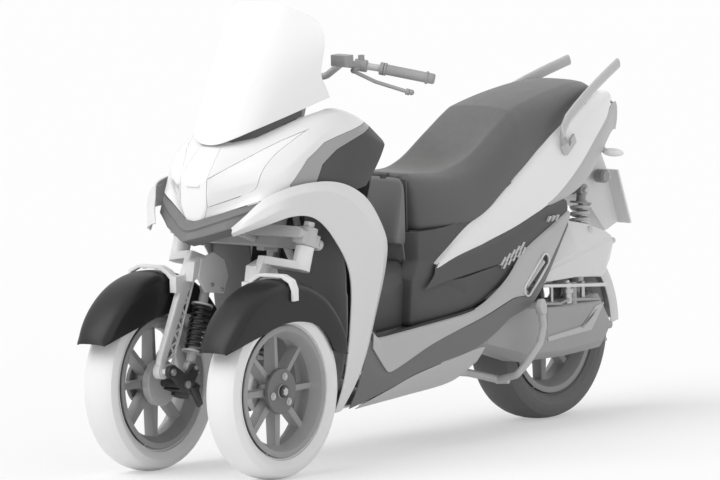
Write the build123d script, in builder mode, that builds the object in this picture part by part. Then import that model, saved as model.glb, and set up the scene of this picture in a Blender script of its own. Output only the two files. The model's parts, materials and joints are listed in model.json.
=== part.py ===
"""Reverse trike scooter: two tilting front wheels on trailing links, one driven rear wheel.

Row frame, millimetres: +Z up, +X to the rider's left, the front faces -Y. The origin is on the
ground, under the middle of the bounding box. Distances along the machine are named "aft": they are
measured rearwards from the front axle, and aft() turns one into the row's Y.
"""

import os
from math import atan2, cos, degrees, hypot, radians, sin

from build123d import *

# ------------------------------------------------------------------ driving dimensions
LENGTH = 2310  # front tips of the mudguards to the tail of the plate holder
FRONT_OVERHANG = 300  # front axle to the front tips of the mudguards
WHEELBASE = 1645
TRACK = 476
FRONT_TYRE_R = 274.5  # 120/70-15
FRONT_TYRE_W = 120
FRONT_RIM_R = 204
FRONT_RIM_W = 100
FRONT_DISC_R = 92
REAR_TYRE_R = 274
REAR_TYRE_W = 150
REAR_RIM_R = 192
REAR_RIM_W = 118
REAR_DISC_R = 110
SPOKES = 8
CASTER = 20  # lean of the kingpins and of the steering column
KINGPIN_AFT = 187  # where a kingpin crosses the height KINGPIN_Z
KINGPIN_Z = 720
COLUMN_OFFSET = 147  # column behind the kingpins, square to the steering axis
RUNNING = 0.05  # radial clearance of every hinge and axle
SEAT_GAP = 0.3  # clearance between pieces that are fixed together
AXLE_R = 12
PANEL = 8  # thickness of body panels
SHEET = 5  # thickness of mudguards and windscreen

HALF_TRACK = TRACK / 2
FRONT_AXLE_Y = FRONT_OVERHANG - LENGTH / 2
SIDES = {"left": 1, "right": -1}


def aft(distance):
    """The row's Y of a place so far behind the front axle."""
    return FRONT_AXLE_Y + distance


def place(x, distance, z):
    """A point from its side offset, its distance aft of the front axle and its height."""
    return Vector(x, aft(distance), z)


STEER_UP = Vector(0, sin(radians(CASTER)), cos(radians(CASTER)))
STEER_BACK = Vector(0, cos(radians(CASTER)), -sin(radians(CASTER)))


def steer_point(x, back, up):
    """A point in the steering frame: back and up are square to and along the steering axis."""
    return place(x, KINGPIN_AFT, KINGPIN_Z) + STEER_BACK * back + STEER_UP * up


def steer_plane(x, back, up):
    """A plane across the steering axis, its Y pointing backwards."""
    return Plane(origin=steer_point(x, back, up), x_dir=(1, 0, 0), z_dir=STEER_UP)


def side_plane(x):
    """A plane seen from the machine's left: its X runs aft from the front axle, its Y is height."""
    return Plane(origin=(x, FRONT_AXLE_Y, 0), x_dir=(0, 1, 0), z_dir=(1, 0, 0))


def bar(start, end, radius, mode=Mode.ADD):
    """A round bar between two points, joined to the part being built."""
    run = end - start
    with BuildSketch(Plane(origin=start, z_dir=run)) as section:
        Circle(radius)
    extrude(section.sketch, amount=run.length, mode=mode)


def pin(x, distance, z, radius, length, mode=Mode.ADD):
    """A round bar along X, its middle at the given place."""
    bar(place(x - length / 2, distance, z), place(x + length / 2, distance, z), radius, mode)


def tube_run(points, radius, bend):
    """A bent round tube through points, joined to the part being built."""
    with BuildLine() as path:
        FilletPolyline(*points, radius=bend)
    with BuildSketch(path.line ^ 0) as section:
        Circle(radius)
    sweep(section.sketch, path=path.line)


def side_slab(outline, x_from, x_to, mode=Mode.ADD):
    """A flat slab between two X values, outlined in side view by (aft, height) points."""
    with BuildSketch(side_plane(min(x_from, x_to))) as section:
        with BuildLine():
            Polyline(*outline, close=True)
        make_face()
    extrude(section.sketch, amount=abs(x_to - x_from), mode=mode)


def strip(stations, thickness, inward):
    """A panel strip: a thin rectangle at each station, from its upper to its lower edge point."""
    sections = []
    for upper, lower in stations:
        across = lower - upper
        with BuildSketch(Plane(origin=upper, x_dir=across, z_dir=across.cross(inward))) as section:
            Rectangle(across.length, thickness, align=(Align.MIN, Align.MIN))
        sections.append(section.sketch)
    loft(sections, ruled=True)


def side_strips(table, thickness):
    """One strip on each side of the machine, its thickness towards the middle.

    Table columns: upper edge x, aft, z, then lower edge x, aft, z.
    """
    for side in SIDES.values():
        stations = [
            (place(side * ux, ua, uz), place(side * lx, la, lz))
            for ux, ua, uz, lx, la, lz in table
        ]
        strip(stations, thickness, Vector(-side, 0, 0))


def cross_strip(table, thickness):
    """A strip that runs across the machine, its thickness rearwards.

    Table columns: x, upper edge aft and z, lower edge aft and z; mirrored to the other side.
    """
    half = [(place(x, ua, uz), place(x, la, lz)) for x, ua, uz, la, lz in table]
    other = [(place(-x, ua, uz), place(-x, la, lz)) for x, ua, uz, la, lz in reversed(table) if x]
    strip(other + half, thickness, Vector(0, 1, 0))


def hull(stations, mode=Mode.ADD):
    """A body lofted along the machine. Table columns: aft, then the half outline's (x, z) points."""
    sections = []
    for distance, half in stations:
        other = [(-x, z) for x, z in reversed(half) if x]
        with BuildSketch(Plane(origin=(0, aft(distance), 0), x_dir=(1, 0, 0), z_dir=(0, -1, 0))) as section:
            with BuildLine():
                Polyline(*half, *other, close=True)
            make_face()
        sections.append(section.sketch)
    loft(sections, ruled=True, mode=mode)


def save(piece, name):
    """Writes one sub-part as its own STEP file."""
    piece.part.label = name
    export_step(piece.part, f"parts/{name}.step")


def save_pair(piece, name):
    """Writes a sub-part of the left side and its mirror image on the right."""
    save(piece, f"left_{name}")
    with BuildPart() as other:
        mirror(piece.part, about=Plane.YZ)
    save(other, f"right_{name}")


os.makedirs("parts", exist_ok=True)

# ------------------------------------------------------------------ wheels
HUB_R = 46
HUB_W = 78
DISC_T = 5


def rim_seat(rim_w):
    """Half the distance between a rim's flanges."""
    return rim_w * 0.45


def build_tyre(centre, outer_r, width, rim_r, rim_w):
    """A smooth tyre, its section a few arcs, turned about the axle."""
    half = width / 2
    shoulder_r = outer_r - width * 0.3
    bead_r = rim_r - 8
    bead_half = rim_seat(rim_w) - SEAT_GAP
    plane = Plane(origin=centre, x_dir=(0, 1, 0), z_dir=(0, 0, 1))
    with BuildPart() as tyre:
        with BuildSketch(plane):
            with BuildLine():
                Polyline((bead_r, -bead_half), (rim_r + 4, -bead_half))
                ThreePointArc((rim_r + 4, -bead_half), (shoulder_r - 14, -half), (shoulder_r, -half * 0.97))
                ThreePointArc((shoulder_r, -half * 0.97), (outer_r, 0), (shoulder_r, half * 0.97))
                ThreePointArc((shoulder_r, half * 0.97), (shoulder_r - 14, half), (rim_r + 4, bead_half))
                Polyline((rim_r + 4, bead_half), (bead_r, bead_half), (bead_r, -bead_half))
            make_face()
        revolve(axis=Axis(centre, (1, 0, 0)))
    return tyre


def build_rim(centre, rim_r, rim_w, bore_r):
    """Flanged barrel, hub and ribbed spokes in one casting."""
    half = rim_w / 2
    seat_r = rim_r - 8
    seat_half = rim_seat(rim_w)
    well_r = seat_r - 22
    plane = Plane(origin=centre, x_dir=(0, 1, 0), z_dir=(0, 0, 1))
    with BuildPart() as rim:
        with BuildSketch(plane):
            with BuildLine():
                Polyline(
                    (rim_r, -half), (rim_r, -seat_half - 0.2), (seat_r - 0.3, -seat_half - 0.2),
                    (seat_r - 0.3, -seat_half + 12), (well_r, -seat_half + 26), (well_r, seat_half - 26),
                    (seat_r - 0.3, seat_half - 12), (seat_r - 0.3, seat_half + 0.2),
                    (rim_r, seat_half + 0.2), (rim_r, half), (seat_r - 9, half), (well_r - 7, seat_half - 30),
                    (well_r - 7, -seat_half + 30), (seat_r - 9, -half), (rim_r, -half),
                )
            make_face()
        revolve(axis=Axis(centre, (1, 0, 0)))
        with BuildSketch(Plane(origin=centre, x_dir=(0, 1, 0), z_dir=(1, 0, 0))):
            Circle(HUB_R)
        extrude(amount=HUB_W / 2, both=True)
        spoke_length = well_r - 3 - (HUB_R - 8)
        for turn in range(SPOKES):
            angle = 360 / SPOKES * turn
            out = Vector(0, sin(radians(angle)), cos(radians(angle)))
            root = centre + out * (HUB_R - 8)
            with BuildSketch(Plane(origin=root, x_dir=(1, 0, 0), z_dir=out)):
                Trapezoid(46, 22, 80, align=(Align.CENTER, Align.CENTER))
            with BuildSketch(Plane(origin=root + out * spoke_length, x_dir=(1, 0, 0), z_dir=out)):
                Trapezoid(40, 17, 80, align=(Align.CENTER, Align.CENTER))
            loft()
        with BuildSketch(Plane(origin=centre, x_dir=(0, 1, 0), z_dir=(1, 0, 0))):
            Circle(bore_r)
        extrude(amount=HUB_W, both=True, mode=Mode.SUBTRACT)
    return rim


def build_disc(centre, inner_face_x, outer_r):
    """Brake disc on the hub's inner end."""
    with BuildPart() as disc:
        with BuildSketch(Plane(origin=(inner_face_x, centre.Y, centre.Z), x_dir=(0, 1, 0), z_dir=(1, 0, 0))):
            Circle(outer_r)
            Circle(AXLE_R + RUNNING, mode=Mode.SUBTRACT)
            with PolarLocations(outer_r - 16, 24):
                Circle(4.5, mode=Mode.SUBTRACT)
        extrude(amount=DISC_T)
    return disc


for side_name, side in SIDES.items():
    wheel_centre = place(side * HALF_TRACK, 0, FRONT_TYRE_R)
    save(build_tyre(wheel_centre, FRONT_TYRE_R, FRONT_TYRE_W, FRONT_RIM_R, FRONT_RIM_W), f"{side_name}_front_tyre")
    save(build_rim(wheel_centre, FRONT_RIM_R, FRONT_RIM_W, AXLE_R + RUNNING), f"{side_name}_front_rim")
    hub_end = side * (HALF_TRACK - HUB_W / 2)
    disc_low = hub_end - DISC_T if side > 0 else hub_end
    save(build_disc(wheel_centre, disc_low, FRONT_DISC_R), f"{side_name}_front_disc")

rear_centre = place(0, WHEELBASE, REAR_TYRE_R)
save(build_tyre(rear_centre, REAR_TYRE_R, REAR_TYRE_W, REAR_RIM_R, REAR_RIM_W), "rear_tyre")
save(build_rim(rear_centre, REAR_RIM_R, REAR_RIM_W, AXLE_R + RUNNING), "rear_rim")
save(build_disc(rear_centre, -HUB_W / 2 - DISC_T, REAR_DISC_R), "rear_disc")

# ------------------------------------------------------------------ front suspension, one set a side
KNUCKLE_R = 29
KNUCKLE_UP = (-96, -20)  # from and to, along the kingpin
KINGPIN_R = 13
KINGPIN_TOP = 58
LEG_INWARD = 98
LEG_BACK = -58
LEG_BACK_LOW = -112
LEG_DOWN = -424
LEG_W = 24
LEG_D = 38
LINK_PIVOT = (-70, 320)
LINK_T = 14
LINK_INWARD = 138
SHOCK_OUT = 18  # middle of the link's plate to the middle of the shock
SHOCK_EYE_LOW = (46, 322)
SHOCK_EYE_TOP = (137, 560)
SHOCK_PERCHES = (52, 196)
HUB_FACE = HALF_TRACK - HUB_W / 2
LINK_MIDDLE = HALF_TRACK - LINK_INWARD
GUARD_CENTRE = (5, 285)
GUARD_R = 338
SPRING_R = 28
SPRING_WIRE_R = 4.5
SPRING_COILS = 6


def shock_frame(x, low, top):
    """Plane at a shock's lower eye with Z along the shock, and the length between its eyes."""
    start = place(x, *low)
    run = place(x, *top) - start
    return Plane(origin=start, x_dir=(1, 0, 0), z_dir=run), run.length


def add_shock(x, low, top, perches):
    """Damper body, rod and two spring perches with an eye at each end."""
    frame, length = shock_frame(x, low, top)
    for radius, start, end in (
        (15, 16, perches[0]), (34, perches[0] - 6, perches[0]), (17, perches[0], length * 0.6),
        (8, length * 0.58, perches[1]), (34, perches[1], perches[1] + 6), (15, perches[1], length - 16),
    ):
        with BuildSketch(frame.offset(start)) as section:
            Circle(radius)
        extrude(section.sketch, amount=end - start)
    for eye in (low, top):
        pin(x, *eye, 19, 20)
    for eye in (low, top):
        pin(x, *eye, 8 + SEAT_GAP, 40, Mode.SUBTRACT)


def add_spring(x, low, top, perches):
    """A coil spring seated between the perches."""
    frame, _ = shock_frame(x, low, top)
    inset = SPRING_WIRE_R + SEAT_GAP
    height = perches[1] - perches[0] - 2 * inset
    base = frame.offset(perches[0] + inset)
    with BuildLine() as coil:
        Helix(height / SPRING_COILS, height, SPRING_R, center=base.origin, direction=base.z_dir)
    with BuildSketch(coil.line ^ 0) as section:
        Circle(SPRING_WIRE_R)
    sweep(section.sketch, path=coil.line, is_frenet=True)


wheel_x = HALF_TRACK
link_x = LINK_MIDDLE
shock_x = link_x + SHOCK_OUT
leg_x = (HALF_TRACK - LEG_INWARD)

with BuildPart() as upright:
    with BuildSketch(steer_plane(wheel_x, 0, KNUCKLE_UP[0])):
        Circle(KNUCKLE_R)
    extrude(amount=KNUCKLE_UP[1] - KNUCKLE_UP[0])
    with BuildSketch(steer_plane(wheel_x, 0, KNUCKLE_UP[1] - 10)):
        Circle(KINGPIN_R)
    extrude(amount=KINGPIN_TOP - KNUCKLE_UP[1] + 10)
    with BuildSketch(steer_plane(wheel_x, 0, KINGPIN_TOP - 14)):
        RegularPolygon(18, 6)
    extrude(amount=14)
    # bridge from the knuckle inwards to the top of the leg
    with BuildSketch(steer_plane(wheel_x, 0, -96)):
        with BuildLine():
            Polyline(
                (8, 24), (8, -26), (-(LEG_INWARD - LEG_W / 2), LEG_BACK - LEG_D / 2),
                (-(LEG_INWARD + LEG_W / 2), LEG_BACK - LEG_D / 2),
                (-(LEG_INWARD + LEG_W / 2), LEG_BACK + LEG_D / 2 + 30), close=True,
            )
        make_face()
    extrude(amount=24)
    # leg
    with BuildSketch(steer_plane(leg_x, LEG_BACK, -74)) as leg_top:
        RectangleRounded(LEG_W, LEG_D + 14, 6)
    with BuildSketch(steer_plane(leg_x, LEG_BACK_LOW, LEG_DOWN)) as leg_low:
        RectangleRounded(LEG_W - 4, LEG_D - 6, 6)
    loft([leg_top.sketch, leg_low.sketch])
    # lower boss around the link's pivot, and the pivot pin
    pin(leg_x, *LINK_PIVOT, 24, LEG_W)
    pin((LINK_MIDDLE + 22), *LINK_PIVOT, 9, 62)
    # plate inboard of the shock, and the arm that joins it to the leg
    side_slab(
        ((92, 655), (150, 668), (205, 640), (222, 588), (198, 536), (110, 548), (74, 596)),
        link_x - 4, link_x + 4,
    )
    side_slab(((48, 588), (60, 648), (112, 662), (104, 602)), link_x, leg_x)
    pin((LINK_MIDDLE + 14), *SHOCK_EYE_TOP, 8, 36)
    # strap over the mudguard
    with BuildSketch(Plane(origin=(wheel_x, aft(5), 0), x_dir=(1, 0, 0), z_dir=(0, -1, 0))):
        with BuildLine():
            Polyline(
                (-98, 560), (-98, 600), (-73, 622), (-43, 635), (43, 635),
                (76, 620), (88, 592), (88, 556), (79, 556), (79, 588),
                (69, 611), (40, 626), (-40, 626), (-67, 611),
                (-86, 592), (-86, 560), close=True,
            )
        make_face()
    extrude(amount=-26)
    side_slab(((0, 556), (31, 556), (80, 575), (80, 610), (31, 606), (0, 606)), 128, 152)
    # pads that hold the mudguard's crown
    for across in (-24, 24):
        bar(place(wheel_x + across, 18, GUARD_CENTRE[1] + GUARD_R + SEAT_GAP), place(wheel_x + across, 18, 630), 8)
save_pair(upright, "upright")

# trailing link with the wheel's axle, the caliper and its tail
with BuildPart() as link:
    side_slab(
        ((-84, 326), (-60, 298), (-6, 250), (22, 256), (64, 308), (46, 334), (0, 305), (-60, 342)),
        link_x - LINK_T / 2, link_x + LINK_T / 2,
    )
    pin(link_x, *LINK_PIVOT, 20, LINK_T)
    pin(link_x, 0, FRONT_TYRE_R, 25, LINK_T)
    pin((LINK_MIDDLE - 7 + 100), 0, FRONT_TYRE_R, AXLE_R, 200)
    pin((HALF_TRACK + HUB_W / 2 + 8), 0, FRONT_TYRE_R, 20, 12)
    pin((LINK_MIDDLE + 14), *SHOCK_EYE_LOW, 8, 36)
    side_slab(
        ((40, 232), (110, 212), (120, 258), (60, 286)), (HUB_FACE - 26), (HUB_FACE + 8),
    )
    side_slab(
        ((0, 255), (60, 236), (78, 262), (30, 290)), link_x, (HUB_FACE - 14),
    )
    pin(HUB_FACE - DISC_T / 2, 0, FRONT_TYRE_R, FRONT_DISC_R + 5, DISC_T + 8, Mode.SUBTRACT)
    pin(LINK_MIDDLE - 7 + 100, 0, FRONT_TYRE_R, AXLE_R, 200)
    side_slab(((20, 262), (64, 196), (84, 206), (60, 262)), link_x - 4, link_x + 4)
    pin(link_x, *LINK_PIVOT, 9 + SEAT_GAP, 60, Mode.SUBTRACT)
save_pair(link, "link")

with BuildPart() as shock:
    add_shock(shock_x, SHOCK_EYE_LOW, SHOCK_EYE_TOP, SHOCK_PERCHES)
    add_spring(shock_x, SHOCK_EYE_LOW, SHOCK_EYE_TOP, SHOCK_PERCHES)
save_pair(shock, "shock")

# mudguard: a faceted section turned about the wheel and trimmed in side view
guard_middle = place(wheel_x, *GUARD_CENTRE)
outer = ((76, 200), (76, 286), (66, GUARD_R - 20), (38, GUARD_R))
inner = [(x - SHEET, r) for x, r in outer[:2]] + [(x - SHEET * 0.7, r - SHEET) for x, r in outer[2:]]
with BuildPart() as mudguard:
    with BuildSketch(Plane(origin=guard_middle, x_dir=(1, 0, 0), z_dir=(0, -1, 0))):
        with BuildLine():
            Polyline(
                *outer, *[(-x, r) for x, r in reversed(outer)],
                *[(-x, r) for x, r in inner], *reversed(inner), close=True,
            )
        make_face()
    revolve(axis=Axis(guard_middle, (1, 0, 0)))
    side_slab(
        (
            (-FRONT_OVERHANG, 424), (-277, 428), (-109, 466), (24, 490), (105, 479), (176, 452), (227, 372),
            (345, 366), (400, 700), (-FRONT_OVERHANG, 700),
        ),
        wheel_x - 90, wheel_x + 90, Mode.INTERSECT,
    )
save_pair(mudguard, "mudguard")

# ------------------------------------------------------------------ steering heads and lean arms
HEAD_R = 30
HEAD_UP = (-18, 40)
LEAN_PIVOT_R = 15

with BuildPart() as steering_heads:
    for side in SIDES.values():
        head_x = side * HALF_TRACK
        with BuildSketch(steer_plane(head_x, 0, HEAD_UP[0])):
            Circle(HEAD_R)
        extrude(amount=HEAD_UP[1] - HEAD_UP[0])
        with BuildSketch(steer_plane(head_x, 0, HEAD_UP[0] + 4)):
            Rectangle(40, 84)
        extrude(amount=38)
        with BuildSketch(steer_plane(head_x, 0, HEAD_UP[0] - 5)):
            Circle(KINGPIN_R + RUNNING)
        extrude(amount=HEAD_UP[1] - HEAD_UP[0] + 10, mode=Mode.SUBTRACT)

with BuildPart() as lean_arms:
    for back, up in ((-52, 14), (52, 0)):
        with BuildSketch(Plane(origin=steer_point(0, back - 9, up), x_dir=(1, 0, 0), z_dir=STEER_BACK * -1)):
            RectangleRounded(2 * HALF_TRACK + 44, 34, 16)
        extrude(amount=-18)
    bar(steer_point(0, -90, 7), steer_point(0, 90, 7), LEAN_PIVOT_R + SEAT_GAP, Mode.SUBTRACT)
with BuildPart() as lean_linkage:
    add(steering_heads.part)
    add(lean_arms.part)
save(lean_linkage, "lean_linkage")
# ------------------------------------------------------------------ frame
COLUMN_R = 17
HEAD_TUBE_UP = (10, 290)
FRAME_TUBE_R = 13
PIN_R = 8
REAR_SHOCK_X = 122
REAR_EYE_LOW = (1668, 412)
REAR_EYE_TOP = (1722, 706)
REAR_PERCHES = (110, 256)
HINGE_R = 5
HINGE_BARREL_R = 9
HINGE = (857, 838)  # seat hinge, aft and height
STAND_PIVOT = (1100, 215)

PEG_HINGE = (1312, 446)
PEG_TIP = (1414, 526)
PEG_X = 206
PEG_TILT = degrees(atan2(PEG_TIP[1] - PEG_HINGE[1], PEG_TIP[0] - PEG_HINGE[0]))
PEG_ALONG = (place(0, *PEG_TIP) - place(0, *PEG_HINGE)).normalized()
PEG_AXIS = Vector(1, 0, 0).cross(PEG_ALONG) * -1


def peg_hinge(side):
    """Middle of a passenger peg's hinge."""
    return place(side * PEG_X, *PEG_HINGE)


with BuildPart() as frame:
    bar(steer_point(0, COLUMN_OFFSET, HEAD_TUBE_UP[0]), steer_point(0, COLUMN_OFFSET, HEAD_TUBE_UP[1]), 27)
    # lean pivot ahead of the head tube
    bar(steer_point(0, -78, 7), steer_point(0, 125, 7), LEAN_PIVOT_R)
    side_slab(((262, 668), (262, 740), (345, 780), (372, 720), (330, 664)), -14, 14)
    for side in SIDES.values():
        tube_run(
            [
                place(side * 22, 345, 705), place(side * 62, 390, 560), place(side * 105, 450, 300),
                place(side * 122, 580, 226), place(side * 135, 940, 232), place(side * 150, 1000, 560),
                place(side * 152, 1250, 645), place(side * 138, 1600, 776), place(side * 86, 1880, 876),
            ],
            FRAME_TUBE_R, 40,
        )
        # upper tube from the head to the floor
        bar(place(side * 20, 392, 850), place(side * 76, 424, 480), 11)
        side_slab(((900, 220), (1112, 196), (1120, 236), (940, 246)), side * 122, side * 132)
        side_slab(((1668, 790), (1752, 826), (1736, 694), (1706, 692)), side * 92, side * 100)
        bar(place(side * 96, 1715, 770), place(side * 120, 1715, 816), 8)
        pin(side * 117, *REAR_EYE_TOP, 8, 50)
        bar(place(side * 148, 1262, 650), place(side * 185.4, 1262, 658), 8)
    for distance, z, length in ((450, 300, 206), (930, 232, 270), (1062, 582, 300), (1600, 776, 276), (1860, 870, 180)):
        pin(0, distance, z, 11, length)
    bar(steer_point(0, COLUMN_OFFSET, -40), steer_point(0, COLUMN_OFFSET, 330), COLUMN_R + RUNNING, Mode.SUBTRACT)
    pin(0, *STAND_PIVOT, PIN_R + RUNNING, 300, Mode.SUBTRACT)
    # brackets of the passenger pegs, each with two ears around the peg's knuckle
    for side in SIDES.values():
        side_slab(((1280, 460), (1306, 490), (1340, 460), (1340, 424), (1312, 414)), side * 176, side * 184)
        bar(place(side * 154, 1220, 634), place(side * 180, 1302, 464), 8)
        for way in (-1, 1):
            hub = peg_hinge(side) + PEG_AXIS * (way * 12.5)
            bar(hub, hub - Vector(side * 26, 0, 0), 3.8)
            bar(hub - PEG_AXIS * 4.4, hub + PEG_AXIS * 4.4, 9)
        bar(peg_hinge(side) - PEG_AXIS * 30, peg_hinge(side) + PEG_AXIS * 30, 4 + RUNNING, Mode.SUBTRACT)
save(frame, "frame")

# ------------------------------------------------------------------ engine, transmission and rear carrier
with BuildPart() as engine_block:
    side_slab(((1060, 262), (1060, 470), (1170, 540), (1330, 524), (1346, 300), (1318, 256)), -90, 88)
save(engine_block, "engine_block")

CASE_IN = 92
CASE_EDGE = 158
CASE_OUT = 190
case_outline = (
    (1002, 316), (1256, 414), (1466, 388), (1745, 384), (1806, 289), (1749, 218), (1557, 209), (1345, 214), (1136, 278),
)
case_face = (
    (1070, 318), (1262, 392), (1466, 366), (1722, 360), (1766, 289), (1730, 244), (1557, 233), (1352, 238), (1152, 292),
)


def side_loft(outline_in, x_in, outline_out, x_out, mode=Mode.ADD):
    """A body between two side-view outlines at two X values."""
    sections = []
    for outline, x in ((outline_in, x_in), (outline_out, x_out)):
        with BuildSketch(side_plane(x)) as section:
            with BuildLine():
                Polyline(*outline, close=True)
            make_face()
        sections.append(section.sketch)
    loft(sections, ruled=True, mode=mode)


with BuildPart() as transmission_case:
    side_slab(case_outline, CASE_IN, CASE_EDGE)
    side_loft(case_outline, CASE_EDGE, case_face, CASE_OUT)
    side_slab(((1624, 372), (1648, 428), (1692, 428), (1716, 372)), CASE_IN, CASE_IN + 10)
    pin(REAR_SHOCK_X - 6, *REAR_EYE_LOW, 8, 46)
    bar(place(174, 1600, 360), place(174, 1600, 436), 12)
save(transmission_case, "transmission_case")

air_low = ((1470, 466), (1586, 622), (1692, 596), (1806, 542), (1828, 480), (1796, 428), (1600, 440))
air_face = ((1510, 470), (1600, 596), (1690, 574), (1782, 528), (1798, 482), (1776, 448), (1604, 458))
with BuildPart() as air_cleaner:
    side_slab(air_low, 158, 174)
    side_loft(air_low, 174, air_face, 192)
save(air_cleaner, "air_cleaner")

with BuildPart() as swing_arm:
    side_slab(
        ((1190, 320), (1190, 430), (1330, 430), (1640, 318), (1684, 300), (1688, 252), (1640, 236), (1330, 306)),
        -112, -90.3,
    )
    side_slab(((1600, 320), (1650, 424), (1686, 424), (1690, 300)), -112, -102)
    pin(-REAR_SHOCK_X + 5, *REAR_EYE_LOW, 8, 46)
    side_slab(((1512, 310), (1546, 374), (1600, 384), (1612, 350), (1566, 310)), -96, -28)
    pin(-HUB_W / 2 - DISC_T / 2, WHEELBASE, REAR_TYRE_R, REAR_DISC_R + 5, DISC_T + 9, Mode.SUBTRACT)
    pin(-11, WHEELBASE, REAR_TYRE_R, AXLE_R, 204)
save(swing_arm, "swing_arm")

with BuildPart() as rear_shocks:
    for side in SIDES.values():
        add_shock(side * REAR_SHOCK_X, REAR_EYE_LOW, REAR_EYE_TOP, REAR_PERCHES)
        add_spring(side * REAR_SHOCK_X, REAR_EYE_LOW, REAR_EYE_TOP, REAR_PERCHES)
save(rear_shocks, "rear_shocks")

rear_guard = ((85, 258), (85, 296), (60, 310))
rear_guard_in = ((81, 258), (81, 294), (58, 306))
with BuildPart() as rear_mudguard:
    with BuildSketch(Plane(origin=rear_centre, x_dir=(1, 0, 0), z_dir=(0, -1, 0))):
        with BuildLine():
            Polyline(
                *rear_guard, *[(-x, r) for x, r in reversed(rear_guard)],
                *[(-x, r) for x, r in rear_guard_in], *reversed(rear_guard_in), close=True,
            )
        make_face()
    revolve(axis=Axis(rear_centre, (1, 0, 0)))
    side_slab(
        ((1440, 470), (1440, 640), (2000, 640), (2000, 290), (1900, 270), (1720, 420)), -100, 100, Mode.INTERSECT,
    )
    side_slab(((1728, 372), (1735, 500), (1765, 500), (1758, 350)), 84, CASE_IN - SEAT_GAP)
save(rear_mudguard, "rear_mudguard")

with BuildPart() as exhaust:
    tube_run(
        [
            place(-40, 1059.5, 400), place(-40, 1018, 400), place(-106, 1010, 292), place(-108, 1120, 288),
            place(-165, 1240, 286), place(-165, 1400, 295),
        ],
        17, 16,
    )
    bar(place(-165, 1350, 288), place(-165, 1830, 356), 50)
    bar(place(-165, 1320, 284), place(-165, 1351, 288), 34)
    side_slab(((1500, 312), (1500, 346), (1560, 346), (1560, 312)), -125, -112.3)
save(exhaust, "exhaust")

# ------------------------------------------------------------------ nose, screen and cockpit
NOSE = (
    (-74, ((0, 932), (30, 931), (48, 928), (52, 880), (50, 836), (25, 800), (0, 794))),
    (37, ((0, 1028), (75, 1010), (128, 985), (158, 930), (168, 885), (200, 860), (0, 838))),
    (111, ((0, 1050), (95, 1040), (168, 1015), (216, 950), (238, 897), (236, 872), (0, 860))),
    (258, ((0, 1085), (120, 1092), (188, 1085), (236, 1005), (248, 890), (236, 860), (0, 850))),
    (400, ((0, 1100), (150, 1112), (203, 1105), (238, 1030), (250, 900), (236, 850), (0, 845))),
    (527, ((0, 1040), (150, 1064), (205, 1058), (236, 1030), (250, 940), (238, 862), (0, 850))),
    (600, ((0, 980), (150, 1000), (200, 1000), (228, 985), (240, 950), (232, 925), (0, 900))),
)


def inset_nose(stations, wall):
    """The nose's inner surface: each outline moved in by the wall and left open below."""
    moved = []
    for index, (distance, half) in enumerate(stations):
        ends = {0: wall, len(stations) - 1: 1}
        points = [(max(x - wall, 0), z - wall) for x, z in half[:4]]
        points += [(max(x - wall, 0), z - wall * 0.4) for x, z in half[4:5]]
        points += [(max(x - wall, 0), z - 60) for x, z in half[5:]]
        moved.append((distance + ends.get(index, 0), points))
    return moved


with BuildPart() as nose_shell:
    hull(NOSE)
    hull(inset_nose(NOSE, 7), Mode.SUBTRACT)
    # opening for the cockpit, seen from above
    with BuildSketch(Plane(origin=(0, FRONT_AXLE_Y, 975))) as opening:
        with BuildLine():
            Polyline(
                (0, 62), (100, 112), (140, 215), (168, 350), (172, 700), (-172, 700), (-168, 350), (-140, 215),
                (-100, 112), close=True,
            )
        make_face()
    extrude(opening.sketch, amount=200, mode=Mode.SUBTRACT)
    # rear end leans forwards towards the floor
    side_slab(((604, 1120), (604, 990), (474, 840), (300, 780), (760, 780), (760, 1120)), -300, 300, Mode.SUBTRACT)

LAMP_FRONT = ((50, 926), (130, 993), (200, 1056), (190, 1007), (180, 969), (166, 892), (150, 878), (50, 838))
BAND_EDGE = ((111, 893), (258, 996), (527, 1054), (560, 1075))
BAND_LOW = ((128, 780), (180, 893), (285, 972), (549, 1034), (600, 1060))


def lamp_prism(grow, mode):
    """The headlamps' outline seen from the front, driven through the nose on both sides."""
    for side in SIDES.values():
        with BuildSketch(Plane(origin=(0, aft(-120), 0), x_dir=(1, 0, 0), z_dir=(0, -1, 0))) as window:
            with BuildLine():
                Polyline(*[(side * x, z) for x, z in LAMP_FRONT], close=True)
            make_face()
            if grow:
                offset(amount=grow, kind=Kind.INTERSECTION)
        lamps.append(window.sketch)


lamps = []
lamp_prism(0, None)
with BuildPart() as lamp_block:
    for window in lamps:
        extrude(window, amount=-420)
lamps = []
lamp_prism(1.2, None)
with BuildPart() as lamp_gap:
    for window in lamps:
        extrude(window, amount=-420)

with BuildPart() as headlamps:
    add(nose_shell.part)
    add(lamp_block.part, mode=Mode.INTERSECT)
save(headlamps, "headlamps")

with BuildPart() as front_cowl:
    add(nose_shell.part)
    side_slab((*BAND_EDGE, (560, 1200), (-120, 1200), (-120, 780), (95, 780)), -300, 300, Mode.INTERSECT)
    add(lamp_gap.part, mode=Mode.SUBTRACT)
save(front_cowl, "front_cowl")

with BuildPart() as cowl_bands:
    add(nose_shell.part)
    side_slab(
        ((97, 780), (113, 893), (259, 994), (528, 1052), (600, 1090), (600, 1060), (549, 1034), (285, 970),
         (180, 891), (130, 780)),
        -300, 300, Mode.INTERSECT,
    )
save(cowl_bands, "cowl_bands")

with BuildPart() as cockpit_sides:
    add(nose_shell.part)
    side_slab(
        ((132, 780), (182, 890), (286, 968), (549, 1032), (610, 1062), (700, 1000), (700, 780)),
        -300, 300, Mode.INTERSECT,
    )
save(cockpit_sides, "cockpit_sides")

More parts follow.
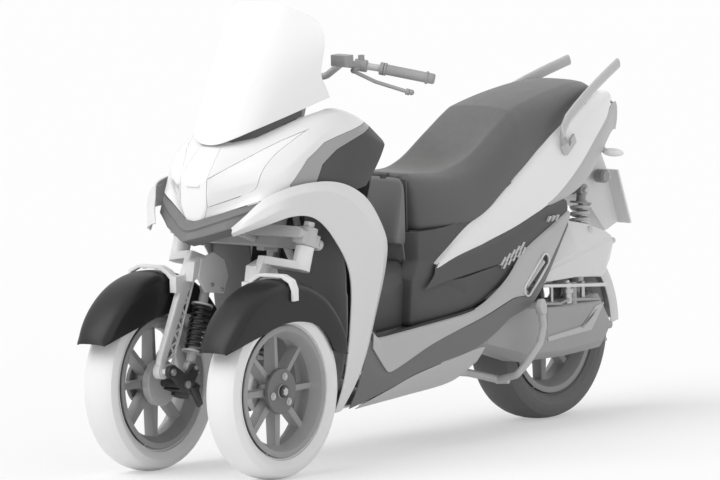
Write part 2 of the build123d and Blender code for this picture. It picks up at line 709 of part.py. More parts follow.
with BuildPart() as nose_chin:
    cross_strip(((0, -80, 792.6, -128, 738), (25, -78, 799.6, -112, 742), (110, -20, 828.6, -62, 770), (190, 30, 854.6, 10, 800)), 8)
    cross_strip(((0, -127, 736, -70, 716), (25, -111, 740, -60, 722), (110, -61, 768, -10, 750), (190, 11, 798, 50, 790)), 8)
    # stays back to the lean pivot
    for side in SIDES.values():
        bar(place(side * 22, -60, 725), place(side * 22, 100, 776), 7)
        bar(place(side * 22, 92, 776), place(side * 22, 124, 772), 7)
save(nose_chin, "nose_chin")

SCREEN_LOW = ((0, 105, 1215, 10, 1020), (60, 118, 1213, 20, 1034), (120, 178, 1212, 88, 1064),
              (150, 238, 1212, 196, 1092), (180, 303, 1212, 312, 1124), (194, 327, 1213, 366, 1140))
SCREEN_TOP = ((0, 270, 1440, 105, 1215), (60, 284, 1434, 118, 1213), (120, 320, 1416, 178, 1212),
              (150, 338, 1400, 238, 1212), (180, 347, 1376, 303, 1212), (196, 346, 1340, 328, 1213))
with BuildPart() as windscreen:
    cross_strip(SCREEN_LOW, SHEET)
    cross_strip(SCREEN_TOP, SHEET)
save(windscreen, "windscreen")

DASH = (
    (112, 80, 1012), (215, 146, 1060), (400, 213, 1058), (556, 222, 998), (590, 218, 978),
)
with BuildPart() as dashboard:
    # dark strip under the screen's edge
    cross_strip(
        ((0, 49.6, 1088, 33.6, 1032), (60, 59.6, 1084, 57.6, 1028), (110, 103.6, 1085, 107.6, 1040),
         (140, 183.6, 1100, 189.6, 1066), (164, 267.6, 1122, 269.6, 1094)),
        5,
    )
    hull([(distance, ((0, z), (x, z), (x, z - 7), (0, z - 7))) for distance, x, z in DASH])
    side_slab(((404, 900), (404, 1100), (530, 1100), (530, 900)), -52, 52, Mode.SUBTRACT)
    # instrument housing
    side_slab(((240, 1062), (262, 1134), (286, 1142), (352, 1074), (352, 1058)), -84, 84)
save(dashboard, "dashboard")

# ------------------------------------------------------------------ fairings behind the front wheels
FAIRING_CREST = (
    (210, -150, 792, 226, -171, 780), (226, -22, 868, 258, -28, 818), (262, 116, 894, 274, 134, 838),
    (264, 366, 880, 276, 290, 780), (256, 500, 799, 268, 392, 690), (244, 596, 677, 260, 452, 590),
    (238, 535, 470, 254, 446, 450), (236, 480, 330, 242, 416, 320), (205, 392, 170, 205, 378, 166),
)
FAIRING_LIP = (
    (224, -170, 781, 226, -157, 764), (256, -28, 820, 262, -5, 783), (272, 134, 840, 276, 136, 794),
    (273, 293, 782, 278, 252, 735), (265, 396, 692, 276, 322, 640), (257, 456, 591, 272, 362, 530),
    (251, 450, 450, 264, 368, 420), (239, 420, 320, 248, 364, 300), (202, 381, 166, 205, 356, 164),
)
with BuildPart() as side_fairings:
    side_strips(FAIRING_CREST, PANEL)
    side_strips(FAIRING_LIP, PANEL)
save(side_fairings, "side_fairings")

with BuildPart() as splash_shield:
    side_slab(
        ((355.7, 598), (355.7, 530), (361.7, 420), (357.7, 300), (350, 166), (356, 166), (363.7, 300), (367.7, 420),
         (361.7, 530), (361.7, 598)),
        -270, 270,
    )
    for side in SIDES.values():
        side_slab(((340, 800), (355.7, 597), (361.7, 597), (346, 800)), side * 112, side * 256)
    with BuildSketch(Plane(origin=(0, aft(500), 0), x_dir=(1, 0, 0), z_dir=(0, -1, 0))):
        with BuildLine():
            Polyline(
                (256, 810), (256, 545), (260, 530), (253, 420), (237, 300), (196, 166), (-196, 166), (-237, 300),
                (-253, 420), (-260, 530), (-256, 545), (-256, 810), close=True,
            )
        make_face()
    extrude(amount=300, mode=Mode.INTERSECT)
save(splash_shield, "splash_shield")

with BuildPart() as footwell:
    # leg shield
    side_slab(
        ((564, 952), (572, 952), (558, 850), (508, 700), (478, 560), (478, 372), (470, 372), (470, 560), (500, 700),
         (550, 850)),
        -206, 206,
    )
    # floor
    side_slab(((470, 356), (470, 366), (1050, 401), (1050, 391)), -217.6, 217.6)
    side_slab(((936, 300), (936, 500), (1060, 500), (1060, 300)), -170, 170, Mode.SUBTRACT)
    # feet on the frame's lower tubes
    for side in SIDES.values():
        bar(place(side * 128.5, 760, 229 + FRAME_TUBE_R + SEAT_GAP), place(side * 128.5, 760, 378), 12)
    # tunnel, open towards the engine
    tunnel = (
        (474, ((0, 600), (78, 596), (104, 572), (125, 470), (132, 364), (0, 364))),
        (700, ((0, 648), (84, 643), (112, 618), (130, 500), (138, 368), (0, 368))),
        (800, ((0, 700), (88, 695), (114, 668), (134, 540), (142, 372), (0, 372))),
        (842, ((0, 826), (84, 826), (104, 806), (136, 580), (146, 374), (0, 374))),
        (850, ((0, 826), (84, 826), (104, 806), (136, 580), (146, 374), (0, 374))),
    )
    hull(tunnel)
    hull([(d + (0 if k < 4 else 1) + (6 if k < 4 else 0) + (0 if k else 2),
           [(max(x - 6, 0), z - 6) for x, z in half[:4]] + [(max(x - 6, 0), z + 8) for x, z in half[4:]])
          for k, (d, half) in enumerate(tunnel)], Mode.SUBTRACT)
    side_strips(
        ((146, 846, 500, 146, 850, 396), (170, 850, 505, 160, 900, 398), (196, 1030, 512, 186, 1045, 402),
         (196, 1250, 538, 198, 1235, 478), (196, 1300, 560, 198, 1290, 545)),
        6,
    )
    # ears of the seat hinge
    for side in SIDES.values():
        pin(side * 30, *HINGE, HINGE_BARREL_R, 20)
        side_slab(((843, 800), (843, 836), (852, 838), (850, 800)), side * 20, side * 40)
    pin(0, *HINGE, HINGE_R + RUNNING, 100, Mode.SUBTRACT)
save(footwell, "footwell")

with BuildPart() as belly_pan:
    hull(((400, ((0, 178), (190, 178), (190, 170), (0, 170))), (930, ((0, 204), (200, 204), (200, 196), (0, 196)))))
    for side in SIDES.values():
        side_slab(((590, 184), (610, 213), (640, 213), (660, 188)), side * 112, side * 132)
save(belly_pan, "belly_pan")

# ------------------------------------------------------------------ skirts along the floor
SKIRT_UPPER = (
    (236, 520, 398, 242, 510, 358), (232, 552, 374, 240, 575, 280), (228, 800, 388, 239, 790, 329),
    (226, 1055, 404, 238, 1030, 383), (216, 1256, 498, 226, 1257, 443), (212, 1300, 556, 222, 1310, 417),
    (200, 1440, 606, 206, 1440, 517), (188, 1571, 658, 191, 1560, 634),
)
SKIRT_BAND = (
    (236, 506, 356.2, 212, 418, 168), (239, 575, 276.2, 226, 500, 186), (239, 600, 264.2, 232, 590, 214),
    (239, 706, 308.2, 238, 706, 248), (239, 790, 326.2, 237, 850, 266), (238, 1030, 380.2, 232, 1060, 294),
    (226, 1257, 440.2, 228, 1206, 370), (222, 1310, 413.2, 222, 1334, 390), (206, 1440, 513.2, 206, 1445, 482),
    (191, 1560, 630.2, 194, 1545, 598),
)
SKIRT_LOWER = (
    (222, 478, 178.4, 210, 460, 167), (232, 592, 211.4, 218, 600, 176), (238, 706, 245.4, 220, 706, 182),
    (237, 850, 263.4, 222, 880, 193), (232, 1050, 289.4, 224, 950, 202), (230, 1082, 292.4, 226, 1040, 256),
)
with BuildPart() as side_skirts:
    side_strips(SKIRT_UPPER, PANEL)
    side_strips(SKIRT_LOWER, PANEL)
    # oblong openings around the folded pegs
    with BuildSketch(side_plane(-300)):
        with Locations(Location(((PEG_HINGE[0] + PEG_TIP[0]) / 2, (PEG_HINGE[1] + PEG_TIP[1]) / 2, 0), (0, 0, PEG_TILT))):
            SlotOverall(172, 42)
    extrude(amount=600, mode=Mode.SUBTRACT)
save(side_skirts, "side_skirts")

with BuildPart() as skirt_bands:
    side_strips(SKIRT_BAND, PANEL)
save(skirt_bands, "skirt_bands")

# ------------------------------------------------------------------ tail
with BuildPart() as tail_panels:
    side_strips(
        (
            (183, 915, 564, 187, 911, 556), (190, 1073, 653, 196, 1080, 592), (190, 1129, 665, 197, 1160, 612),
            (186, 1254, 728, 198, 1280, 637), (180, 1418, 824, 195, 1400, 682), (166, 1568, 896, 178, 1560, 776),
            (140, 1720, 960, 150, 1720, 856), (112, 1860, 988, 124, 1849, 924), (104, 1890, 986, 108, 1890, 962),
        ),
        PANEL,
    )
save(tail_panels, "tail_panels")

with BuildPart() as tail_lowers:
    side_strips(
        (
            (193, 1425, 694, 190, 1450, 684), (178, 1560, 768, 170, 1600, 706), (162, 1650, 812, 160, 1650, 720),
            (150, 1720, 848, 140, 1720, 764), (125, 1849, 916, 118, 1810, 800), (98, 1930, 950, 98, 1926, 862),
        ),
        PANEL,
    )
    # cover between the grab rails
    hull((
        (1856, ((0, 990), (94, 986), (94, 976), (0, 976))), (1932, ((0, 966), (82, 962), (82, 952), (0, 952))),
    ))
save(tail_lowers, "tail_lowers")

with BuildPart() as lower_trims:
    side_strips(
        (
            (186, 905, 551.9, 192, 834, 494), (197, 1080, 587.9, 200, 1030, 520), (198, 1280, 631.9, 204, 1250, 546),
            (195, 1400, 671.9, 203, 1340, 592), (184, 1560, 693.9, 194, 1490, 652),
        ),
        6,
    )
save(lower_trims, "lower_trims")

with BuildPart() as tail_lamps:
    hull((
        (1932.3, ((0, 962), (96, 956), (100, 900), (94, 866), (0, 862))),
        (1968, ((0, 950), (72, 944), (78, 900), (70, 878), (0, 876))),
    ))
    # indicators on stalks
    for side in SIDES.values():
        bar(place(side * 109.2, 1874, 838), place(side * 128, 1874, 838), 6)
        bar(place(side * 124, 1876, 822), place(side * 172, 1896, 803), 13)
save(tail_lamps, "tail_lamps")

with BuildPart() as grab_rails:
    for side in SIDES.values():
        tube_run(
            [place(side * 186, 1563, 850), place(side * 186, 1552, 929), place(side * 170, 1645, 983),
             place(side * 135, 1779, 1026), place(side * 86, 1950, 1082)],
            13, 26,
        )
        bar(place(side * 171, 1645, 978), place(side * 174, 1646, 880), 8)
save(grab_rails, "grab_rails")

PLATE_REAR = LENGTH - FRONT_OVERHANG
with BuildPart() as plate_holder:
    side_slab(((1800, 706), (1812, 790), (1842, 858.7), (1878, 858.7), (1900, 840), (1950, 740), (PLATE_REAR - 8, 574), (1936, 552)), -44, 44)
    side_slab(((1942, 740), (1950, 742), (PLATE_REAR, 572), (PLATE_REAR - 8, 570)), -90, 90)
    pin(0, 1942, 728, 15, 120)
save(plate_holder, "plate_holder")

with BuildPart() as storage_tub:
    with BuildSketch(Plane(origin=(0, aft(960), 420))):
        Rectangle(230, 170)
    extrude(amount=215)
    with BuildSketch(Plane(origin=(0, aft(960), 424))):
        Rectangle(222, 162)
    extrude(amount=220, mode=Mode.SUBTRACT)
save(storage_tub, "storage_tub")

# ------------------------------------------------------------------ seat
SEAT = (
    (868, ((0, 848), (70, 848), (104, 826), (116, 760), (112, 660), (0, 652))),
    (900, ((0, 842), (88, 840), (126, 815), (138, 740), (134, 656), (0, 650))),
    (1040, ((0, 800), (110, 802), (156, 782), (172, 720), (168, 662), (0, 656))),
    (1160, ((0, 806), (122, 808), (164, 790), (176, 740), (172, 690), (0, 684))),
    (1212, ((0, 850), (124, 850), (166, 820), (176, 765), (172, 716), (0, 710))),
    (1250, ((0, 990), (100, 985), (150, 940), (172, 850), (170, 742), (0, 736))),
    (1330, ((0, 1022), (104, 1016), (150, 985), (168, 900), (166, 790), (0, 784))),
    (1500, ((0, 1040), (108, 1034), (142, 1010), (154, 960), (152, 876), (0, 870))),
    (1742, ((0, 1046), (98, 1040), (124, 1022), (128, 990), (126, 968), (0, 962))),
    (1830, ((0, 1026), (70, 1020), (92, 1010), (98, 1000), (96, 990), (0, 984))),
)
SEAT_PAN = 12
with BuildPart() as seat_cushion:
    hull([(d, half[:-2] + ((half[-2][0], half[-2][1] + SEAT_PAN), (0, half[-1][1] + SEAT_PAN))) for d, half in SEAT])
    side_slab(((866, 640), (866, 840), (876.3, 840), (876.3, 640)), -200, 200, Mode.SUBTRACT)
save(seat_cushion, "seat_cushion")

with BuildPart() as seat_base:
    hull([(d, ((0, half[-1][1] + SEAT_PAN - SEAT_GAP), (half[-2][0], half[-2][1] + SEAT_PAN - SEAT_GAP),
               (half[-2][0], half[-2][1]), (0, half[-1][1]))) for d, half in SEAT])
    side_slab(((868, 656), (868, 828), (876, 828), (876, 656)), -100, 100)
    side_slab(((857, 829), (857, 846), (866, 838), (876, 838), (876, 822), (868, 822)), -19, 19)
    pin(0, *HINGE, HINGE_BARREL_R, 39)
    pin(0, *HINGE, HINGE_R, 84)
save(seat_base, "seat_base")

# ------------------------------------------------------------------ handlebar
BAR_R = 11
MIRROR_HOLE_R = 5
MIRROR_DEPTH = 18
MIRROR_BOSS_TOP = 1254
GRIP_R = 16.5


def bar_half(side):
    """Centre line of one half of the handlebar."""
    return [place(0, 505, 1168), place(side * 76, 515, 1188), place(side * 132, 523, 1230),
            place(side * 236, 571, 1214), place(side * 386, 648, 1181)]


with BuildPart() as handlebar:
    bar(steer_point(0, COLUMN_OFFSET, -10), steer_point(0, COLUMN_OFFSET, 524), COLUMN_R)
    bar(steer_point(0, COLUMN_OFFSET, 300), steer_point(0, COLUMN_OFFSET, 316), 27)
    bar(steer_point(0, COLUMN_OFFSET, 506), steer_point(0, COLUMN_OFFSET, 536), 28)
    for side in SIDES.values():
        tube_run(bar_half(side), BAR_R, 24)
save(handlebar, "handlebar")

with BuildPart() as grips:
    for side in SIDES.values():
        knee, tip = bar_half(side)[3:]
        along = (tip - knee).normalized()
        bar(knee + along * 24, tip + along * 2, GRIP_R)
        bar(knee + along * 18, knee + along * 24, 20)
        bar(tip - along * 22, tip - along * 16, 20)
        bar(tip - along * 2 + along * 3.5, tip + along * 5, 15)
        bar(knee, tip + along * SEAT_GAP, BAR_R + SEAT_GAP, Mode.SUBTRACT)
save(grips, "grips")

with BuildPart() as hand_controls:
    for side in SIDES.values():
        knee, tip = bar_half(side)[3:]
        along = (tip - knee).normalized()
        bar(knee - along * 44 + along * 48, knee + along * 16, 20)
        start = bar_half(side)[2]
        inner = (knee - start).normalized()
        bar(start + inner * 40, start + inner * 78, 19)
        bar(start + inner * 60, place(side * 178, 470, 1236), 12)
        with BuildSketch(Plane(origin=place(side * 172, 470, 1228))) as reservoir:
            RectangleRounded(62, 42, 6)
        extrude(reservoir.sketch, amount=34)
        tube_run([place(side * 190, 500, 1210), place(side * 250, 535, 1176), place(side * 340, 578, 1146)], 6, 20)
        bar(start + inner * 58, place(side * 190, 500, 1210), 9)
        bar(place(side * 336, 576, 1147), place(side * 346, 581, 1144), 10)
        bar(place(side * 186, 548, 1222), place(side * 186, 548, MIRROR_BOSS_TOP), 10)
        bar(place(side * 186, 548, MIRROR_BOSS_TOP - MIRROR_DEPTH), place(side * 186, 548, MIRROR_BOSS_TOP + 5),
            MIRROR_HOLE_R, Mode.SUBTRACT)
    for side in SIDES.values():
        knee, tip = bar_half(side)[3:]
        start = bar_half(side)[2]
        bar(knee, tip, BAR_R + SEAT_GAP, Mode.SUBTRACT)
        bar(start, knee, BAR_R + SEAT_GAP, Mode.SUBTRACT)
save(hand_controls, "hand_controls")

# ------------------------------------------------------------------ centre stand
with BuildPart() as centre_stand:
    pin(0, *STAND_PIVOT, PIN_R, 276)
    pin(0, *STAND_PIVOT, 15, 232)
    for side in SIDES.values():
        bar(place(side * 80, *STAND_PIVOT), place(side * 118, 1296, 162), 12)
        bar(place(side * 108, 1294, 160), place(side * 150, 1300, 162), 11)
    pin(0, 1200, 188, 9, 200)
    tube_run(
        [place(118, 1290, 163), place(214, 1260, 186), place(232, 1290, 222), place(246, 1338, 280), place(250, 1352, 330),
         place(250, 1342, 380)],
        11, 16,
    )
    bar(place(250, 1344, 372), place(250, 1338, 402), 17)
save(centre_stand, "centre_stand")

# ------------------------------------------------------------------ passenger pegs, folded up
for side_name, side in SIDES.items():
    with BuildPart() as peg:
        bar(peg_hinge(side) - PEG_AXIS * 7.5, peg_hinge(side) + PEG_AXIS * 7.5, 9)
        bar(peg_hinge(side) - PEG_AXIS * 18, peg_hinge(side) + PEG_AXIS * 18, 4)
        bar(peg_hinge(side) + PEG_ALONG * 4, peg_hinge(side) + PEG_ALONG * 16, 7)
        bar(peg_hinge(side) + PEG_ALONG * 14, peg_hinge(side) + PEG_ALONG * 124, 10)
    save(peg, f"{side_name}_peg")
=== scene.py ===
# %% [markdown]
# # A leaning three-wheeled scooter
#
# The machine has two steered wheels in front, which lean with the rider, and one driven wheel
# behind. Its bones come from a imported CAD model: every node keeps its place, its size and the
# body it moves with. This notebook gives each of them its looks. Body panels, soft parts and
# tyres are modelled again as smooth surfaces over the CAD shapes, machined and cast parts are
# copied and get rounded edges, and small fasteners and ribs are added.
#
# Everything is in metres. The front faces -Y, +X is the rider's left and +Z is up.

# %% Load the fixed frame
import json
import math
import random

import bmesh
import bpy
from mathutils import Matrix, Vector


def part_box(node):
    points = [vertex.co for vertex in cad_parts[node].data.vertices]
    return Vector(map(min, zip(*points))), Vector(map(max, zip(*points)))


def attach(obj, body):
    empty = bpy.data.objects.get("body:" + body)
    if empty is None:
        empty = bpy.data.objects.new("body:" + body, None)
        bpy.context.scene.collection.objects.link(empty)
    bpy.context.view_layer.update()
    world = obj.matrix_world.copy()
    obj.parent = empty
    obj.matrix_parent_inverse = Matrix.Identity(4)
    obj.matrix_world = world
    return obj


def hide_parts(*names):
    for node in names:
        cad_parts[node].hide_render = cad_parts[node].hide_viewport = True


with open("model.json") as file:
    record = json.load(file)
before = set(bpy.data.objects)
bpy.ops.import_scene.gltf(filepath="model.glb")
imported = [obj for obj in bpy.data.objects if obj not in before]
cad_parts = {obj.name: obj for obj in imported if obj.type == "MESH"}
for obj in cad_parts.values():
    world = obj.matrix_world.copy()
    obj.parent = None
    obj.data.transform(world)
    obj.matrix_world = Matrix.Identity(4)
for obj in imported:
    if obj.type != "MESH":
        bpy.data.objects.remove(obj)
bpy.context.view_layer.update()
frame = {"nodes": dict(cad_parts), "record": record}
nodes = frame["nodes"]

# %% [markdown]
# ## Places
#
# A drawing of a vehicle gives sizes in millimetres, and distances along it from the front axle.
# One small function turns such a point into the frame's metres, so that the tables below can be
# read beside a drawing.

# %% A point as the drawings give it
wheel_low, wheel_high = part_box("left_front_tyre")
FRONT_AXLE_Y = (wheel_low.y + wheel_high.y) / 2


def at(x, aft, z):
    """x mm left of the middle, aft mm behind the front axle, z mm above the ground."""
    return Vector((x / 1000, FRONT_AXLE_Y + aft / 1000, z / 1000))


print("front axle at Y", round(FRONT_AXLE_Y, 3))

# %% [markdown]
# ## Camera, floor and light
#
# The view is a parallel one, from the left of the nose and a little above. In such a view equal
# things look equally large, as in a parts catalogue. The camera's axes are given directly.
# The floor reaches far enough to fill the whole view, so there is no horizon. Two broad lamps
# and a pale world light the machine from everywhere, the stronger one from the upper left.

# %% Camera
VIEW_RIGHT = Vector((0.7903, 0.6125, -0.0199)).normalized()
VIEW_BACK = Vector((0.610, -0.783, 0.120))
VIEW_BACK = (VIEW_BACK - VIEW_BACK.dot(VIEW_RIGHT) * VIEW_RIGHT).normalized()
VIEW_UP = VIEW_BACK.cross(VIEW_RIGHT)

lens = bpy.data.cameras.new("camera")
lens.type = "ORTHO"
lens.ortho_scale = 2.2174
lens.clip_end = 60
camera = bpy.data.objects.new("camera", lens)
camera.matrix_world = Matrix.Translation(at(316.8, 355.6, 708.4) + VIEW_BACK * 6) @ Matrix(
    (VIEW_RIGHT, VIEW_UP, VIEW_BACK)
).transposed().to_4x4()
bpy.context.collection.objects.link(camera)
bpy.context.scene.camera = camera
bpy.context.scene.view_settings.view_transform = "Standard"
print("camera looks along", [round(-v, 3) for v in VIEW_BACK])


# %% Lamps
def add_sun(name, towards, strength, softness):
    """A broad lamp; towards points from the machine to the lamp."""
    lamp = bpy.data.lights.new(name, "SUN")
    lamp.energy = strength
    lamp.angle = math.radians(softness)
    holder = bpy.data.objects.new(name, lamp)
    holder.rotation_euler = Vector(towards).to_track_quat("Z", "Y").to_euler()
    bpy.context.collection.objects.link(holder)
    return holder


add_sun("key_lamp", (-0.3, -0.8, 0.95), 1.85, 50)
add_sun("side_lamp", (0.9, -0.35, 0.35), 0.26, 50)
add_sun("rear_lamp", (0.1, 0.9, 0.5), 0.25, 60)

# %% World
world = bpy.data.worlds.new("studio")
world.use_nodes = True
bpy.context.scene.world = world
tree = world.node_tree
tree.nodes.clear()
path = tree.nodes.new("ShaderNodeLightPath")
seen = tree.nodes.new("ShaderNodeMath")
seen.operation = "MAXIMUM"
lit = tree.nodes.new("ShaderNodeBackground")
lit.inputs["Strength"].default_value = 0.52
backdrop = tree.nodes.new("ShaderNodeBackground")
backdrop.inputs["Strength"].default_value = 1.0
choose = tree.nodes.new("ShaderNodeMixShader")
output = tree.nodes.new("ShaderNodeOutputWorld")
for background in (lit, backdrop):
    background.inputs["Color"].default_value = (1, 1, 1, 1)
tree.links.new(path.outputs["Is Camera Ray"], seen.inputs[0])
tree.links.new(path.outputs["Is Transmission Ray"], seen.inputs[1])
direct = tree.nodes.new("ShaderNodeMath")
direct.operation = "MAXIMUM"
tree.links.new(seen.outputs[0], direct.inputs[0])
tree.links.new(path.outputs["Is Glossy Ray"], direct.inputs[1])
tree.links.new(direct.outputs[0], choose.inputs[0])
tree.links.new(lit.outputs[0], choose.inputs[1])
tree.links.new(backdrop.outputs[0], choose.inputs[2])
tree.links.new(choose.outputs[0], output.inputs[0])
print("world strength", lit.inputs["Strength"].default_value)

# %% [markdown]
# ## Finishes
#
# No real surface is one flat colour. Paint has a slight ripple and drifts a little in tone,
# moulded plastic has a fine grain, cast metal is pebbled and rubber is chalky. Effects that
# several finishes share are node groups, each built once, and each material sets their values.


# %% Helpers for node trees
def add_node(tree, kind, inputs=None, **settings):
    """A node of that kind with its settings, its input values and its incoming links."""
    made = tree.nodes.new(kind)
    for key, value in settings.items():
        setattr(made, key, value)
    for key, value in (inputs or {}).items():
        if isinstance(value, bpy.types.NodeSocket):
            tree.links.new(value, made.inputs[key])
        else:
            made.inputs[key].default_value = value
    return made


def new_group(name, inputs, outputs):
    """An empty node group with named sockets, and its input and output nodes."""
    group = bpy.data.node_groups.new(name, "ShaderNodeTree")
    for socket, kind, value in inputs:
        made = group.interface.new_socket(socket, in_out="INPUT", socket_type=kind)
        if value is not None:
            made.default_value = value
    for socket, kind in outputs:
        group.interface.new_socket(socket, in_out="OUTPUT", socket_type=kind)
    return group, group.nodes.new("NodeGroupInput"), group.nodes.new("NodeGroupOutput")


# %% Shared effect: a tone that drifts over the surface
drift, drift_in, drift_out = new_group(
    "tone_drift",
    [("Color", "NodeSocketColor", None), ("Size", "NodeSocketFloat", 5.0), ("Amount", "NodeSocketFloat", 0.05)],
    [("Color", "NodeSocketColor")],
)
place = add_node(drift, "ShaderNodeTexCoord")
cloud = add_node(
    drift, "ShaderNodeTexNoise", {"Vector": place.outputs["Object"], "Scale": drift_in.outputs["Size"], "Detail": 3.0}
)
swing = add_node(drift, "ShaderNodeMath", {0: cloud.outputs["Fac"], 1: 0.5}, operation="SUBTRACT")
swing = add_node(drift, "ShaderNodeMath", {0: swing.outputs[0], 1: drift_in.outputs["Amount"]}, operation="MULTIPLY")
level = add_node(drift, "ShaderNodeMath", {0: swing.outputs[0], 1: 1.0}, operation="ADD")
shade = add_node(
    drift, "ShaderNodeVectorMath", {0: drift_in.outputs["Color"], "Scale": level.outputs[0]}, operation="SCALE"
)
drift.links.new(shade.outputs[0], drift_out.inputs[0])

# %% Shared effect: the fine grain of moulded, cast or rubber surfaces
grain, grain_in, grain_out = new_group(
    "surface_grain",
    [("Grain Size", "NodeSocketFloat", 900.0), ("Roughness", "NodeSocketFloat", 0.5), ("Spread", "NodeSocketFloat", 0.1)],
    [("Height", "NodeSocketFloat"), ("Roughness", "NodeSocketFloat")],
)
place = add_node(grain, "ShaderNodeTexCoord")
fine = add_node(
    grain,
    "ShaderNodeTexNoise",
    {"Vector": place.outputs["Object"], "Scale": grain_in.outputs["Grain Size"], "Detail": 2.0, "Roughness": 0.6},
)
wide = add_node(grain, "ShaderNodeTexNoise", {"Vector": place.outputs["Object"], "Scale": 23.0, "Detail": 3.0})
swing = add_node(grain, "ShaderNodeMath", {0: wide.outputs["Fac"], 1: 0.5}, operation="SUBTRACT")
swing = add_node(grain, "ShaderNodeMath", {0: swing.outputs[0], 1: grain_in.outputs["Spread"]}, operation="MULTIPLY")
rough = add_node(grain, "ShaderNodeMath", {0: swing.outputs[0], 1: grain_in.outputs["Roughness"]}, operation="ADD")
grain.links.new(fine.outputs["Fac"], grain_out.inputs["Height"])
grain.links.new(rough.outputs[0], grain_out.inputs["Roughness"])

# %% Shared effect: dust that settles on faces that look upwards
dust, dust_in, dust_out = new_group(
    "settled_dust",
    [("Color", "NodeSocketColor", None), ("Dust", "NodeSocketColor", (0.5, 0.49, 0.47, 1.0)), ("Amount", "NodeSocketFloat", 0.1)],
    [("Color", "NodeSocketColor")],
)
facing = add_node(dust, "ShaderNodeNewGeometry")
apart = add_node(dust, "ShaderNodeSeparateXYZ", {0: facing.outputs["Normal"]})
place = add_node(dust, "ShaderNodeTexCoord")
cloud = add_node(dust, "ShaderNodeTexNoise", {"Vector": place.outputs["Object"], "Scale": 40.0, "Detail": 5.0})
up = add_node(dust, "ShaderNodeMapRange", {"Value": apart.outputs["Z"], "From Min": 0.1, "From Max": 1.0})
both = add_node(dust, "ShaderNodeMath", {0: up.outputs[0], 1: cloud.outputs["Fac"]}, operation="MULTIPLY")
mask = add_node(dust, "ShaderNodeMath", {0: both.outputs[0], 1: dust_in.outputs["Amount"]}, operation="MULTIPLY")
laid = add_node(
    dust,
    "ShaderNodeMix",
    {"Factor": mask.outputs[0], "A": dust_in.outputs["Color"], "B": dust_in.outputs["Dust"]},
    data_type="RGBA",
)
dust.links.new(laid.outputs["Result"], dust_out.inputs[0])
print("node groups:", [group.name for group in bpy.data.node_groups])


# %% A finish from the shared effects
def new_finish(name, color, roughness, metallic=0.0, grain_size=900.0, bump=0.05, drift_amount=0.06, dust_amount=0.0,
               spread=0.1, coat=0.0, specular=0.5):
    """A surface whose tone drifts, whose gloss varies and whose grain is a bump."""
    finish = bpy.data.materials.new(name)
    finish.use_nodes = True
    tree = finish.node_tree
    shader = tree.nodes["Principled BSDF"]
    shader.inputs["Metallic"].default_value = metallic
    shader.inputs["Specular IOR Level"].default_value = specular
    shader.inputs["Coat Weight"].default_value = coat
    shader.inputs["Coat Roughness"].default_value = 0.06
    tone = add_node(tree, "ShaderNodeGroup", node_tree=drift)
    tone.inputs["Color"].default_value = (*color, 1)
    tone.inputs["Size"].default_value = 4.0
    tone.inputs["Amount"].default_value = drift_amount
    base = tone.outputs["Color"]
    if dust_amount:
        cover = add_node(tree, "ShaderNodeGroup", node_tree=dust)
        tree.links.new(base, cover.inputs["Color"])
        cover.inputs["Amount"].default_value = dust_amount
        base = cover.outputs["Color"]
    skin = add_node(tree, "ShaderNodeGroup", node_tree=grain)
    skin.inputs["Grain Size"].default_value = grain_size
    skin.inputs["Roughness"].default_value = roughness
    skin.inputs["Spread"].default_value = spread
    lift = add_node(tree, "ShaderNodeBump", {"Height": skin.outputs["Height"], "Strength": bump, "Distance": 0.0004})
    tree.links.new(base, shader.inputs["Base Color"])
    tree.links.new(skin.outputs["Roughness"], shader.inputs["Roughness"])
    tree.links.new(lift.outputs["Normal"], shader.inputs["Normal"])
    return finish


# %% [markdown]
# The shell is white paint over plastic under a clear coat. Its lower parts are a light satin
# grey, the trims are bare moulded plastic in three depths of grey, and the metal parts are
# painted, cast or machined. The words after each name say what it is used for.

